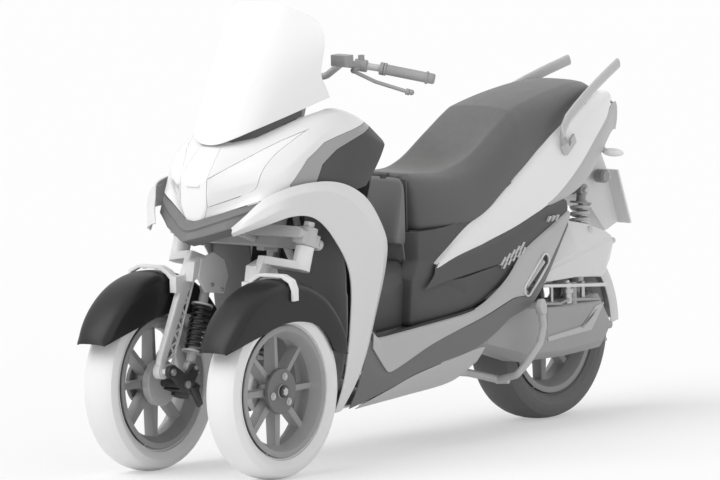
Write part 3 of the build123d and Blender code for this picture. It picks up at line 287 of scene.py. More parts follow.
# %% The finishes by name
FINISH = {
    "shell_white": new_finish("paint_white", (0.86, 0.86, 0.86), 0.32, grain_size=260, bump=0.02, drift_amount=0.03, coat=0.25),
    "shell_light": new_finish("paint_light_grey", (0.72, 0.72, 0.72), 0.38, grain_size=320, bump=0.03, drift_amount=0.04, coat=0.15),
    "trim_grey": new_finish("plastic_mid_grey", (0.155, 0.155, 0.155), 0.55, grain_size=1400, bump=0.14, dust_amount=0.1),
    "trim_dark": new_finish("plastic_dark_grey", (0.08, 0.08, 0.08), 0.58, grain_size=1500, bump=0.16, dust_amount=0.1),
    "band_grey": new_finish("paint_mid_grey", (0.36, 0.36, 0.36), 0.4, grain_size=400, bump=0.03, drift_amount=0.05, coat=0.1),
    "cockpit_black": new_finish("plastic_cockpit", (0.05, 0.05, 0.05), 0.5, grain_size=1300, bump=0.1, dust_amount=0.03),
    "mudguard_black": new_finish("plastic_black", (0.014, 0.014, 0.014), 0.42, grain_size=1100, bump=0.05, specular=0.3),
    "screen": new_finish("screen_white", (0.9, 0.9, 0.9), 0.16, grain_size=200, bump=0.01, drift_amount=0.02, coat=0.3),
    "lamp": new_finish("lens_frosted", (0.88, 0.88, 0.88), 0.14, grain_size=500, bump=0.02, drift_amount=0.03, coat=0.5),
    "metal_white": new_finish("enamel_white", (0.82, 0.82, 0.82), 0.4, grain_size=520, bump=0.09, drift_amount=0.05),
    "metal_light": new_finish("enamel_light_grey", (0.52, 0.52, 0.52), 0.4, grain_size=520, bump=0.08, drift_amount=0.06),
    "metal_grey": new_finish("enamel_mid_grey", (0.31, 0.31, 0.31), 0.42, grain_size=700, bump=0.08, drift_amount=0.08),
    "skirt_grey": new_finish("paint_skirt_grey", (0.47, 0.47, 0.47), 0.4, grain_size=320, bump=0.03, drift_amount=0.04, coat=0.1),
    "cap_grey": new_finish("plastic_cap", (0.19, 0.19, 0.19), 0.5, grain_size=1400, bump=0.12, dust_amount=0.04),
    "well_dark": new_finish("plastic_well", (0.075, 0.075, 0.075), 0.55, grain_size=1400, bump=0.12, dust_amount=0.04),
    "spring_black": new_finish("spring_paint", (0.012, 0.012, 0.012), 0.35, grain_size=900, bump=0.04),
    "hub_grey": new_finish("enamel_hub", (0.15, 0.15, 0.15), 0.42, grain_size=700, bump=0.08, drift_amount=0.08),
    "metal_dark": new_finish("enamel_dark", (0.045, 0.045, 0.045), 0.4, grain_size=700, bump=0.08, drift_amount=0.08),
    "engine_alloy": new_finish("cast_alloy", (0.36, 0.36, 0.36), 0.52, metallic=0.25, grain_size=620, bump=0.3, drift_amount=0.1, dust_amount=0.12),
    "steel": new_finish("bare_steel", (0.5, 0.5, 0.5), 0.32, metallic=0.85, grain_size=1800, bump=0.06, drift_amount=0.1),
    "tyre_white": new_finish("rubber_white", (0.8, 0.8, 0.8), 0.72, grain_size=1300, bump=0.2, drift_amount=0.05, dust_amount=0.15),
    "tyre_dark": new_finish("rubber_dark", (0.15, 0.15, 0.15), 0.78, grain_size=1300, bump=0.25, drift_amount=0.12, dust_amount=0.3),
    "grip_rubber": new_finish("rubber_grip", (0.33, 0.33, 0.33), 0.7, grain_size=1500, bump=0.2, dust_amount=0.1),
}
print("finishes:", len(FINISH))

# %% Floor
floor_shape = bmesh.new()
bmesh.ops.create_grid(floor_shape, x_segments=1, y_segments=1, size=40)
floor_mesh = bpy.data.meshes.new("floor")
floor_shape.to_mesh(floor_mesh)
floor_shape.free()
floor = bpy.data.objects.new("floor", floor_mesh)
bpy.context.collection.objects.link(floor)
FLOOR_PAINT = new_finish("floor_paint", (0.95, 0.95, 0.95), 0.9, grain_size=60, bump=0.0, drift_amount=0.0, specular=0.0)
floor_mesh.materials.append(FLOOR_PAINT)

# the backdrop paper glows a little to the camera, in metal and through glass, so that it is white and the shadow stays
tree = FLOOR_PAINT.node_tree
seen = add_node(tree, "ShaderNodeLightPath")
seen_or_shine = add_node(tree, "ShaderNodeMath", {0: seen.outputs["Is Camera Ray"], 1: seen.outputs["Is Glossy Ray"]}, operation="MAXIMUM")
any_view = add_node(tree, "ShaderNodeMath", {0: seen_or_shine.outputs[0], 1: seen.outputs["Is Transmission Ray"]}, operation="MAXIMUM")
share = add_node(tree, "ShaderNodeMath", {0: any_view.outputs[0], 1: 0.42}, operation="MULTIPLY")
glow = add_node(tree, "ShaderNodeEmission", {"Color": (1, 1, 1, 1), "Strength": 1.0})
both = add_node(tree, "ShaderNodeMixShader", {0: share.outputs[0], 2: glow.outputs[0]})
tree.links.new(tree.nodes["Principled BSDF"].outputs[0], both.inputs[1])
tree.links.new(both.outputs[0], tree.nodes["Material Output"].inputs[0])

# %% [markdown]
# ## Making a piece
#
# A bmesh is a mesh in the making. When its shape is done it becomes an object, gets its finish,
# names the CAD nodes that it stands for and is told which body it rides on. A copy of a CAD
# node is told the body that the node belongs to.

# %% From a bmesh to a piece of the machine
SLOT = {entry["node"]: entry["material_slot"] for entry in frame["record"]["subparts"]}
BODY = {
    node: body for body, members in frame["record"]["behaviour"]["bodies"].items() for node in members
}


def new_piece(name, shape, slot, body="chassis", stands_for=(), sharp=35):
    """Turns a bmesh into an object that rides on a body and has a finish. Edges over sharp degrees stay crisp."""
    mesh = bpy.data.meshes.new(name)
    shape.to_mesh(mesh)
    shape.free()
    mesh.polygons.foreach_set("use_smooth", [True] * len(mesh.polygons))
    mesh.set_sharp_from_angle(angle=math.radians(sharp))
    mesh.materials.append(FINISH[slot])
    piece = bpy.data.objects.new(name, mesh)
    bpy.context.collection.objects.link(piece)
    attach(piece, body)
    if stands_for:
        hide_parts(*stands_for)
    return piece


# %% [markdown]
# ## Cast, machined and welded parts
#
# Frames, hubs, brackets and housings are right as CAD shapes, but real castings and pressings
# have no razor edges: a small radius catches the light along every edge. A CAD node's mesh is
# loose triangles, so a copy has its doubled vertices merged and its flat triangles dissolved
# into whole faces. After that a bevel finds only the true edges.

# %% A CAD node's copy with rounded edges
def merged_copy(node):
    """A bmesh of a CAD node with its doubled vertices merged."""
    shape = bmesh.new()
    shape.from_mesh(nodes[node].data)
    bmesh.ops.remove_doubles(shape, verts=shape.verts, dist=0.00002)
    return shape


def round_edges(shape, width, turn=28):
    """Joins flat triangles into faces and rounds every edge that turns by more than that many degrees."""
    bmesh.ops.dissolve_limit(shape, angle_limit=math.radians(0.8), verts=shape.verts, edges=shape.edges)
    sharp = [edge for edge in shape.edges if len(edge.link_faces) == 2 and edge.calc_face_angle() > math.radians(turn)]
    bmesh.ops.bevel(
        shape, geom=sharp, offset=width / 1000, offset_type="OFFSET", affect="EDGES", segments=2, profile=0.5,
        clamp_overlap=True, material=-1,
    )
    bmesh.ops.triangulate(shape, faces=[face for face in shape.faces if len(face.verts) > 4])


def soften(node, width):
    """A copy of a CAD node with rounded edges, which stands for it."""
    shape = merged_copy(node)
    round_edges(shape, width)
    return new_piece(node + "_cast", shape, SLOT[node], BODY[node], [node], sharp=32)


EDGE_RADIUS = {
    "frame": 0.8, "lean_linkage": 1.5, "left_upright": 2.0, "right_upright": 2.0, "left_link": 1.5, "right_link": 1.5,
    "engine_block": 4.0, "swing_arm": 3.0, "exhaust": 2.0,
    "handlebar": 1.0, "grips": 1.2, "hand_controls": 1.6, "centre_stand": 1.5, "left_peg": 1.5, "right_peg": 1.5,
    "plate_holder": 1.5, "storage_tub": 1.0, "belly_pan": 1.5, "left_front_rim": 2.0,
    "right_front_rim": 2.0, "rear_rim": 2.0, "rear_disc": 0.5,
    "transmission_case": 6.0, "dashboard": 2.0, "splash_shield": 1.5,
    "seat_base": 1.5, "nose_chin": 1.5, "rear_mudguard": 1.5,
}
cast = {node: soften(node, width) for node, width in EDGE_RADIUS.items() if node in nodes}
print("softened copies:", len(cast), "triangles:", sum(len(piece.data.loop_triangles) or len(piece.data.polygons) for piece in cast.values()))


# %% Springs apart from their dampers
def loose_parts(shape):
    """The sets of faces that hang together, the smallest first."""
    left = set(shape.faces)
    parts = []
    while left:
        reach = [left.pop()]
        part = set(reach)
        while reach:
            near = {face for edge in reach.pop().edges for face in edge.link_faces} - part
            part |= near
            left -= near
            reach += near
        parts.append(part)
    return sorted(parts, key=len)


def coil(shape, low, top, perches, radius, wire, turns):
    """Adds a coil spring between two perches on the line from one eye to the other."""
    axis = (top - low).normalized()
    out = axis.orthogonal().normalized()
    start = low + axis * (perches[0] + wire) / 1000
    height = (perches[1] - perches[0] - 2 * wire) / 1000
    ring = bmesh.ops.create_circle(shape, cap_ends=False, segments=10, radius=wire / 1000)["verts"]
    turned = Matrix((out, axis, out.cross(axis))).transposed().to_4x4()
    bmesh.ops.transform(shape, matrix=Matrix.Translation(start + out * radius / 1000) @ turned, verts=ring)
    edges = list({edge for vert in ring for edge in vert.link_edges})
    steps = turns * 24
    bmesh.ops.spin(
        shape, geom=ring + edges, cent=start, axis=axis, dvec=axis * height / steps, angle=math.tau * turns, steps=steps,
    )
    bmesh.ops.remove_doubles(shape, verts=shape.verts, dist=0.00002)
    bmesh.ops.holes_fill(shape, edges=[edge for edge in shape.edges if edge.is_boundary], sides=0)
    bmesh.ops.recalc_face_normals(shape, faces=shape.faces[:])


def damper(node, slot):
    """A CAD node's dampers: its loose parts without the coils, which have the most faces."""
    shape = merged_copy(node)
    parts = loose_parts(shape)
    bmesh.ops.delete(shape, geom=[face for part in parts[len(parts) // 2:] for face in part], context="FACES")
    round_edges(shape, 0.8)
    new_piece(node + "_damper", shape, slot, BODY[node], [node], sharp=32)
    print(node, "loose parts:", len(parts))


for side, word in ((1, "left"), (-1, "right")):
    damper(word + "_shock", "metal_light")
    wound = bmesh.new()
    coil(wound, at(side * 118, 46, 322), at(side * 118, 137, 560), (52, 196), 26.5, 5.6, 8)
    new_piece(word + "_spring", wound, "spring_black", word + "_knuckle", [word + "_shock"], sharp=60)
damper("rear_shocks", "metal_grey")
wound = bmesh.new()
for side in (1, -1):
    coil(wound, at(side * 122, 1668, 412), at(side * 122, 1722, 706), (110, 256), 27, 5.2, 7)
new_piece("rear_springs", wound, "metal_light", "chassis", ["rear_shocks"], sharp=60)

# %% [markdown]
# ## Body panels
#
# A moulded panel is a thin, gently curved wall with a few crisp lines. It is drawn here as a
# cage: a flat grid whose vertices are moved to measured places, a row at a time. A subdivision
# surface rounds the cage, creased rows keep their line, and Solidify gives the wall. Panels
# that meet share the same row of places, so that the joint between them is even.

# %% Helpers for cages
def mirrored(shape):
    """Adds the right half, turned the right way out, and joins both halves on the middle plane."""
    bmesh.ops.mirror(shape, geom=shape.verts[:] + shape.edges[:] + shape.faces[:], axis="X", merge_dist=0.0)
    bmesh.ops.reverse_faces(shape, faces=[face for face in shape.faces if face.calc_center_median().x < 0])
    bmesh.ops.remove_doubles(shape, verts=[v for v in shape.verts if abs(v.co.x) < 0.0005], dist=0.0006)


def cage(rows, outwards, crease_rows=(), crease_columns=(), crease=0.85):
    """A grid of places. outwards is roughly where its faces look; the named rows and columns keep their line."""
    shape = bmesh.new()
    wide = len(rows[0])
    bmesh.ops.create_grid(shape, x_segments=wide - 1, y_segments=len(rows) - 1, size=1)
    shape.verts.ensure_lookup_table()
    line = shape.edges.layers.float.new("crease_edge")
    for vert, point in zip(shape.verts, [point for row in rows for point in row]):
        vert.co = at(*point)
    for edge in shape.edges:
        one, two = sorted(vert.index for vert in edge.verts)
        row = one // wide
        if two == one + 1 and row in crease_rows or two == one + wide and one % wide in crease_columns:
            edge[line] = crease
    shape.normal_update()
    if sum((face.normal * face.calc_area() for face in shape.faces), Vector()).dot(Vector(outwards)) < 0:
        bmesh.ops.reverse_faces(shape, faces=shape.faces[:])
    return shape


def finish_wall(piece, thickness=3.0, levels=3, edge=0.8):
    """Rounds the cage, gives the wall its thickness inwards and softens its rim."""
    smooth = piece.modifiers.new("rounding", "SUBSURF")
    smooth.levels = smooth.render_levels = levels
    smooth.boundary_smooth = "PRESERVE_CORNERS"
    wall = piece.modifiers.new("wall", "SOLIDIFY")
    wall.thickness = thickness / 1000
    wall.offset = -1
    if edge:
        rim = piece.modifiers.new("rim", "BEVEL")
        rim.width = edge / 1000
        rim.segments = 2
        rim.limit_method = "ANGLE"
        rim.angle_limit = math.radians(50)
    return piece


def panel(name, rows, slot, outwards=(1, 0, 0), stands_for=(), body="chassis", thickness=3.0, levels=3, edge=0.8, **lines):
    """A panel on the left and its mirror image on the right, or one panel joined on the middle plane."""
    shape = cage(rows, outwards, **lines)
    mirrored(shape)
    piece = new_piece(name, shape, slot, body, stands_for, sharp=180)
    return finish_wall(piece, thickness, levels, edge)


def rail(*points):
    """The places of one row, written as x, aft, z one after another."""
    return [tuple(points[start:start + 3]) for start in range(0, len(points), 3)]


# %% [markdown]
# ### Screen
#
# The screen is one sheet, blown to shape: flat in the middle, pulled round at the sides, with a
# waist a third of the way up. Its rows run from the lower edge to the top, its columns from the
# middle outwards.

# %% Screen
SCREEN = [
    rail(0, 10, 1020, 42, 13, 1026, 90, 48, 1048, 122, 100, 1068, 152, 208, 1096, 180, 316, 1126, 197, 374, 1142),
    rail(0, 56, 1112, 46, 62, 1114, 94, 96, 1126, 126, 142, 1136, 154, 222, 1154, 182, 308, 1172, 197, 354, 1180),
    rail(0, 106, 1212, 48, 112, 1212, 98, 140, 1214, 130, 186, 1214, 158, 246, 1214, 182, 304, 1214, 193, 330, 1214),
    rail(0, 160, 1288, 50, 166, 1288, 100, 192, 1286, 132, 226, 1284, 162, 272, 1280, 188, 318, 1276, 199, 342, 1272),
    rail(0, 214, 1362, 50, 220, 1360, 98, 242, 1356, 130, 268, 1350, 160, 304, 1342, 190, 336, 1332, 203, 350, 1322),
    rail(0, 262, 1426, 44, 266, 1424, 84, 280, 1419, 116, 300, 1409, 146, 322, 1396, 172, 338, 1380, 190, 346, 1362),
    rail(0, 270, 1440, 42, 274, 1438, 80, 287, 1432, 110, 306, 1422, 138, 325, 1408, 160, 340, 1394, 178, 347, 1378),
]
windscreen = panel("screen", SCREEN, "screen", outwards=(0, -1, 0.4), stands_for=["windscreen"], thickness=4.5, edge=1.4)
print("screen rows:", len(SCREEN))

# %% [markdown]
# ### Nose
#
# The nose is moulded as several parts, but their outside is one flowing surface. So the whole
# surface is made once, as a closed wall, and each part is cut out of it with a prism, as a
# jigsaw would. Cutting leaves real edges and an even gap, which painted lines can't.
# Each row of the table is one section, from the middle of the top down to the lower edge.

# %% Nose surface
NOSE = [
    rail(0, -66, 936, 0, -70, 930, 0, -72, 916, 0, -73, 896, 0, -74, 870, 0, -75, 845, 0, -75, 820, 0, -73, 794),
    rail(0, -50, 950, 26, -56, 946, 42, -62, 936, 50, -66, 926, 52, -67, 905, 52, -68, 880, 49, -69, 836, 26, -71, 798),
    rail(0, -20, 984, 34, -24, 980, 58, -22, 968, 80, -14, 953, 92, -26, 925, 98, -24, 892, 96, -20, 856, 84, -34, 820),
    rail(0, 6, 1014, 38, 14, 1009, 78, 26, 996, 106, 34, 977, 140, 22, 955, 152, 22, 915, 150, 30, 878, 146, 6, 844),
    rail(0, 40, 1032, 62, 50, 1028, 104, 60, 1014, 130, 75, 997, 179, 53, 962, 190, 52, 915, 198, 51, 884, 200, 34, 862),
    rail(0, 92, 1046, 80, 100, 1043, 124, 106, 1030, 150, 114, 1014, 190, 112, 998, 222, 106, 944, 238, 108, 898, 237, 106, 868),
    rail(0, 178, 1066, 98, 180, 1066, 148, 180, 1056, 174, 180, 1038, 204, 180, 1020, 233, 180, 986, 246, 180, 896, 238, 180, 864),
    rail(0, 258, 1083, 116, 258, 1087, 172, 258, 1080, 198, 256, 1058, 213, 258, 1042, 230, 258, 1018, 250, 258, 892, 238, 258, 858),
    rail(0, 330, 1092, 132, 330, 1102, 184, 330, 1096, 204, 330, 1078, 213, 330, 1064, 219, 332, 1046, 251, 330, 894, 238, 330, 855),
    rail(0, 400, 1098, 146, 400, 1112, 193, 400, 1108, 207, 400, 1095, 218, 400, 1070, 226, 400, 1050, 252, 400, 898, 238, 400, 850),
    rail(0, 465, 1080, 150, 465, 1094, 195, 465, 1090, 210, 465, 1080, 224, 465, 1058, 234, 465, 1030, 252, 465, 904, 238, 465, 852),
    rail(0, 527, 1044, 150, 527, 1066, 196, 527, 1062, 211, 527, 1054, 226, 527, 1040, 240, 527, 1005, 250, 527, 925, 238, 527, 864),
    rail(0, 600, 985, 150, 600, 1002, 192, 600, 1002, 208, 600, 998, 222, 600, 988, 236, 600, 970, 240, 600, 945, 232, 600, 925),
]
NOSE_WALL = 3.5


def apply_modifiers(piece):
    """Makes what the modifiers show the piece's own mesh."""
    shown = piece.evaluated_get(bpy.context.evaluated_depsgraph_get())
    piece.data = bpy.data.meshes.new_from_object(shown)
    piece.modifiers.clear()


surface = cage(NOSE, (0.6, -0.5, 0.6), crease_rows=(1,), crease_columns=(3, 5), crease=0.55)
mirrored(surface)
nose_surface = bpy.data.objects.new("nose_surface", bpy.data.meshes.new("nose_surface"))
bpy.context.collection.objects.link(nose_surface)
surface.to_mesh(nose_surface.data)
surface.free()
finish_wall(nose_surface, NOSE_WALL, levels=3, edge=0)
apply_modifiers(nose_surface)
print("nose surface faces:", len(nose_surface.data.polygons))


# %% Cutting a part out of a closed wall
def prism(outline, direction, reach, grow=0.0):
    """A bmesh prism over an outline of (across, up) places, in mm; direction is 'front', 'side' or 'top'."""
    shape = bmesh.new()
    spot = {
        "front": lambda a, b, far: at(a, far, b),
        "side": lambda a, b, far: at(far, a, b),
        "top": lambda a, b, far: at(a, b, far),
    }[direction]
    ring = [shape.verts.new(spot(*point, reach[0])) for point in outline]
    face = shape.faces.new(ring)
    if grow:
        ring_middle = sum((vert.co for vert in ring), Vector()) / len(ring)
        away = {vert: vert.co - ring_middle for vert in ring}
        for vert in ring:
            vert.co += away[vert].normalized() * grow / 1000
    pushed = bmesh.ops.extrude_face_region(shape, geom=[face])
    moved = [part for part in pushed["geom"] if isinstance(part, bmesh.types.BMVert)]
    bmesh.ops.translate(shape, verts=moved, vec=spot(0, 0, reach[1]) - spot(0, 0, reach[0]))
    bmesh.ops.recalc_face_normals(shape, faces=shape.faces[:])
    return shape


def both_sides(shape):
    """Adds the prism's mirror image, the right way out."""
    bmesh.ops.mirror(shape, geom=shape.verts[:] + shape.edges[:] + shape.faces[:], axis="X", merge_dist=0.0)
    bmesh.ops.recalc_face_normals(shape, faces=shape.faces[:])
    return shape


def cut(wall, cutter, way):
    """Applies a boolean of that way between a wall and a bmesh, and gives the result as a mesh."""
    tool_mesh = bpy.data.meshes.new("cutter")
    cutter.to_mesh(tool_mesh)
    cutter.free()
    tool = bpy.data.objects.new("cutter", tool_mesh)
    work = bpy.data.objects.new("work", wall.copy())
    for item in (tool, work):
        bpy.context.collection.objects.link(item)
    step = work.modifiers.new("cut", "BOOLEAN")
    step.operation = way
    step.object = tool
    step.solver = "EXACT"
    result = bpy.data.meshes.new_from_object(work.evaluated_get(bpy.context.evaluated_depsgraph_get()))
    bpy.data.objects.remove(tool)
    bpy.data.objects.remove(work)
    return result


def cut_piece(name, wall, slot, stands_for, edge=0.8, turn=40):
    """A finished piece from a cut wall, with a fine bevel along its cut edges."""
    shape = bmesh.new()
    shape.from_mesh(wall)
    bmesh.ops.remove_doubles(shape, verts=shape.verts, dist=0.00002)
    piece = new_piece(name, shape, slot, "chassis", stands_for, sharp=38)
    rim = piece.modifiers.new("rim", "BEVEL")
    rim.width = edge / 1000
    rim.segments = 2
    rim.limit_method = "ANGLE"
    rim.angle_limit = math.radians(turn)
    return piece


# %% Parts of the nose
COCKPIT = [(0, 64), (96, 112), (138, 215), (170, 350), (176, 700), (-176, 700), (-170, 350), (-138, 215), (-96, 112)]
LAMP = [(50, 926), (90, 961), (130, 994), (166, 1027), (200, 1057), (192, 1022), (184, 990), (178, 950), (171, 905), (163, 888), (148, 879), (100, 858), (50, 838)]
LAMP_SMALL = [(51.5, 925), (90, 959), (130, 991.5), (166, 1024.5), (197, 1052), (190, 1021), (182, 990), (176.3, 950), (169.3, 906), (162, 890), (147.5, 881), (100, 860), (51.5, 840)]
FRONT_EDGE = [(90, 780), (119, 900), (205, 971), (300, 1012), (539, 1055), (612, 1069)]
BAND = [(92, 780), (121, 899.4), (206.2, 969.8), (300.5, 1010.6), (539.3, 1053.6), (612, 1067.5), (612, 1046), (556, 1040), (356, 985), (274, 947), (236, 897), (190, 780)]
REAR_PART = [(192, 780), (238, 896), (275.5, 945.8), (356.6, 983.6), (556.4, 1038.6), (612, 1044.5), (700, 1000), (700, 780)]
SHIELD = [(40, 1016), (48, 966), (50.5, 928), (50.5, 838), (40, 806), (24, 780)]
SHIELD_INNER = [(39, 1016), (47, 966), (49.5, 928), (49.5, 838.4), (39, 806.8), (23, 780)]


def across(half):
    """An outline closed by its own mirror image."""
    return half + [(-x, z) for x, z in reversed(half)]


shell = cut(nose_surface.data, prism(COCKPIT, "top", (880, 1200)), "DIFFERENCE")
shell = cut(shell, prism([(606, 1120), (606, 990), (478, 840), (300, 780), (760, 780), (760, 1120)], "side", (-300, 300)), "DIFFERENCE")
bpy.data.objects.remove(nose_surface)

white = cut(shell, prism([*FRONT_EDGE, (610, 1200), (-120, 1200), (-120, 780)], "side", (-300, 300)), "INTERSECT")
shield_wall = cut(white, prism(across(SHIELD_INNER), "front", (-120, 80)), "INTERSECT")
white = cut(white, prism(across(SHIELD), "front", (-120, 80)), "DIFFERENCE")
white = cut(white, both_sides(prism(LAMP, "front", (-120, 300))), "DIFFERENCE")
front_cowl = cut_piece("front_cowl_shell", white, "shell_white", ["front_cowl"])
shield = cut_piece("centre_shield", shield_wall, "shell_white", ["front_cowl"])

lens_wall = cut(shell, both_sides(prism(LAMP_SMALL, "front", (-120, 300))), "INTERSECT")
headlamps = cut_piece("headlamp_lenses", lens_wall, "lamp", ["headlamps"])
cowl_bands = cut_piece("cowl_band_shell", cut(shell, prism(BAND, "side", (-300, 300)), "INTERSECT"), "band_grey", ["cowl_bands"])
rear_part = cut(shell, prism(REAR_PART, "side", (-300, 300)), "INTERSECT")
cockpit_sides = cut_piece("cockpit_side_shell", rear_part, "cockpit_black", ["cockpit_sides"])
print("nose parts:", [len(piece.data.polygons) for piece in (front_cowl, shield, headlamps, cowl_bands, cockpit_sides)])

# %% [markdown]
# Under the beak sits a chin of bare plastic with a ledge along it. It is a panel of its own.

# %% Chin
CHIN = [
    rail(0, -79, 789, 30, -77, 797, 70, -48, 812, 112, -19, 827, 150, 8, 840, 192, 32, 853),
    rail(0, -104, 776, 31, -94, 783, 72, -62, 800, 114, -36, 815, 152, -6, 829, 192, 24, 843),
    rail(0, -112, 768, 31, -101, 775, 73, -68, 792, 115, -42, 808, 153, -12, 822, 192, 20, 836),
    rail(0, -110, 760, 31, -99, 768, 73, -67, 785, 115, -41, 800, 153, -11, 815, 192, 20, 829),
    rail(0, -126, 740, 31, -113, 744, 74, -84, 757, 116, -58, 772, 154, -24, 787, 192, 8, 801),
    rail(0, -108, 726, 31, -92, 732, 74, -58, 746, 116, -32, 760, 154, -4, 776, 192, 26, 794),
    rail(0, -70, 717, 31, -58, 724, 74, -34, 738, 116, -8, 752, 154, 18, 770, 192, 48, 790),
]
nose_chin = panel("chin_panel", CHIN, "trim_grey", outwards=(0.4, -1, 0.2), crease_rows=(1, 2, 3, 4), crease=0.7, thickness=3)
print("chin rows:", len(CHIN))

# %% [markdown]
# ### Fairings behind the front wheels
#
# On each side a fairing starts as a wing beside the beak, arches over the wheel and runs down
# to the floor. Its outer face is broad and rounded, and along its lower and inner side it turns
# through a crisp line into a narrow lip. Rows run along the arch, columns from the crest across
# the face to that line and on over the lip.

# %% Fairing
FAIRING = [
    rail(147, -72, 781, 158, -80, 777, 165, -93, 768, 164, -88, 762, 161, -80, 756),
    rail(182, -34, 822, 198, -36, 812, 202, -42, 792, 202, -34, 782, 198, -20, 774),
    rail(206, 6, 864, 230, 6, 846, 238, 2, 817, 239, 8, 804, 236, 20, 790),
    rail(242, 48, 888, 266, 48, 866, 269, 42, 838, 270, 52, 824, 266, 62, 808),
    rail(254, 116, 900, 278, 122, 876, 280, 130, 842, 280, 132, 828, 275, 134, 808),
    rail(258, 240, 902, 286, 236, 874, 284, 216, 826, 284, 208, 812, 278, 196, 790),
    rail(262, 352, 886, 289, 326, 846, 284, 288, 782, 284, 276, 768, 278, 254, 745),
    rail(262, 452, 838, 288, 400, 792, 278, 348, 734, 278, 332, 718, 276, 296, 700),
    rail(258, 506, 790, 282, 452, 744, 272, 392, 690, 273, 374, 676, 274, 338, 652),
    rail(250, 568, 712, 274, 512, 676, 266, 436, 636, 267, 414, 622, 270, 366, 600),
    rail(244, 594, 660, 267, 540, 630, 262, 454, 586, 263, 430, 570, 268, 374, 545),
    rail(240, 572, 560, 262, 524, 545, 258, 456, 512, 259, 430, 505, 265, 374, 490),
    rail(238, 535, 470, 257, 498, 462, 255, 446, 450, 256, 420, 444, 262, 370, 430),
    rail(237, 498, 372, 252, 468, 364, 250, 430, 356, 250, 408, 350, 254, 367, 340),
    rail(230, 458, 268, 238, 436, 260, 236, 408, 252, 236, 390, 246, 236, 362, 238),
    rail(205, 392, 170, 206, 388, 169, 206, 380, 167, 206, 372, 166, 205, 358, 165),
]
side_fairings = panel(
    "wheel_fairings", FAIRING, "shell_light", outwards=(1, 0, 0), stands_for=["side_fairings"], thickness=4,
    crease_columns=(1, 2), crease=0.6,
)
print("fairing rows:", len(FAIRING))

# %% [markdown]
# ### Front mudguards
#
# A mudguard is part of a wheel's circle: one section swept about the axle. The table gives
# the section's size at several angles, because the ends are narrower and cut at a slant.
# The angle is measured in the plane of the wheel, 0 pointing forwards and 90 pointing up.

# %% Front mudguards
GUARD_CENTRE = (5, 285)
GUARD = [
    # angle, radius of the crown, half width, radius of the lower edge
    (24.4, 334, 52, 322), (27.5, 337, 62, 306), (33, 338, 69, 282), (42, 338, 73, 250), (54, 338, 75, 222), (68, 338, 76, 210),
    (84, 338, 76, 206), (100, 338, 76, 208), (116, 338, 76, 218), (130, 338, 75, 234), (144, 338, 74, 239), (156, 338, 71, 240),
    (162, 336, 66, 262), (166.5, 333, 56, 312),
]


def guard_point(side, angle, radius, across):
    """A place in a front wheel's plane, across mm outwards from the wheel's middle."""
    turn = math.radians(angle)
    return (side * (238 + across), GUARD_CENTRE[0] - radius * math.cos(turn), GUARD_CENTRE[1] + radius * math.sin(turn))


def guard_rows(side):
    """The mudguard's cage on one side."""
    rows = []
    for angle, crown, half, low in GUARD:
        wall = crown - low
        section = [
            (-half + 2, low), (-half, low + wall * 0.45), (-half * 0.98, crown - min(24, wall * 0.7)),
            (-half * 0.78, crown - min(7, wall * 0.2)), (-half * 0.36, crown),
        ]
        section += [(0, crown + 1)] + [(-across, reach) for across, reach in reversed(section)]
        rows.append([guard_point(side, angle, reach, across) for across, reach in section])
    return rows


def outward_faces(shape, middle):
    """Turns a sheet so that its faces look away from a place."""
    shape.normal_update()
    if sum(face.normal.dot(face.calc_center_median() - middle) for face in shape.faces) < 0:
        bmesh.ops.reverse_faces(shape, faces=shape.faces[:])


for side, word in ((1, "left"), (-1, "right")):
    shape = cage(guard_rows(side), (0, 0, 1), crease_columns=(2, 8), crease=0.35)
    outward_faces(shape, at(side * 238, *GUARD_CENTRE))
    guard = new_piece(word + "_mudguard_shell", shape, "mudguard_black", word + "_knuckle", [word + "_mudguard"], sharp=180)
    finish_wall(guard, 3.0, levels=3, edge=1.0)

print("mudguard sections:", len(GUARD))

# %% [markdown]
# ### Skirts along the floor
#
# Below the floor three panels lie over each other on each side: a light upper skirt that
# carries on upwards around the passenger's peg, a dark band that follows its lower edge, and a
# light lower skirt. Each row has an upper edge, a rounded middle and a lower edge.

# %% Skirts
SKIRT_UPPER = [
    rail(233, 518, 402, 236, 519, 397, 240, 515, 384, 242, 508, 352),
    rail(229, 545, 380, 236, 548, 373, 242, 558, 330, 242, 574, 272),
    rail(228, 556, 379, 236, 558, 372, 243, 574, 326, 242, 588, 264),
    rail(226, 680, 386, 234, 682, 380, 243, 692, 336, 242, 702, 300),
    rail(224, 800, 393, 232, 800, 388, 240, 800, 360, 241, 796, 332),
    rail(220, 960, 402, 228, 958, 398, 238, 950, 380, 240, 944, 364),
    rail(218, 1055, 410, 226, 1056, 404, 236, 1048, 392, 238, 1036, 380),
    rail(214, 1160, 452, 222, 1162, 446, 232, 1158, 428, 232, 1156, 408),
    rail(209, 1256, 508, 217, 1258, 500, 228, 1260, 470, 227, 1262, 440),
    rail(204, 1300, 562, 212, 1304, 552, 226, 1318, 486, 223, 1322, 416),
    rail(194, 1440, 612, 202, 1442, 604, 212, 1444, 556, 206, 1450, 508),
    rail(184, 1571, 662, 189, 1572, 658, 193, 1572, 646, 190, 1566, 632),
]
upper = cage(SKIRT_UPPER, (1, 0, 0), crease_columns=(1,), crease=0.7)
mirrored(upper)
upper_wall = bpy.data.objects.new("upper_skirt", bpy.data.meshes.new("upper_skirt"))
bpy.context.collection.objects.link(upper_wall)
upper.to_mesh(upper_wall.data)
upper.free()
finish_wall(upper_wall, 4, levels=3, edge=0)
apply_modifiers(upper_wall)

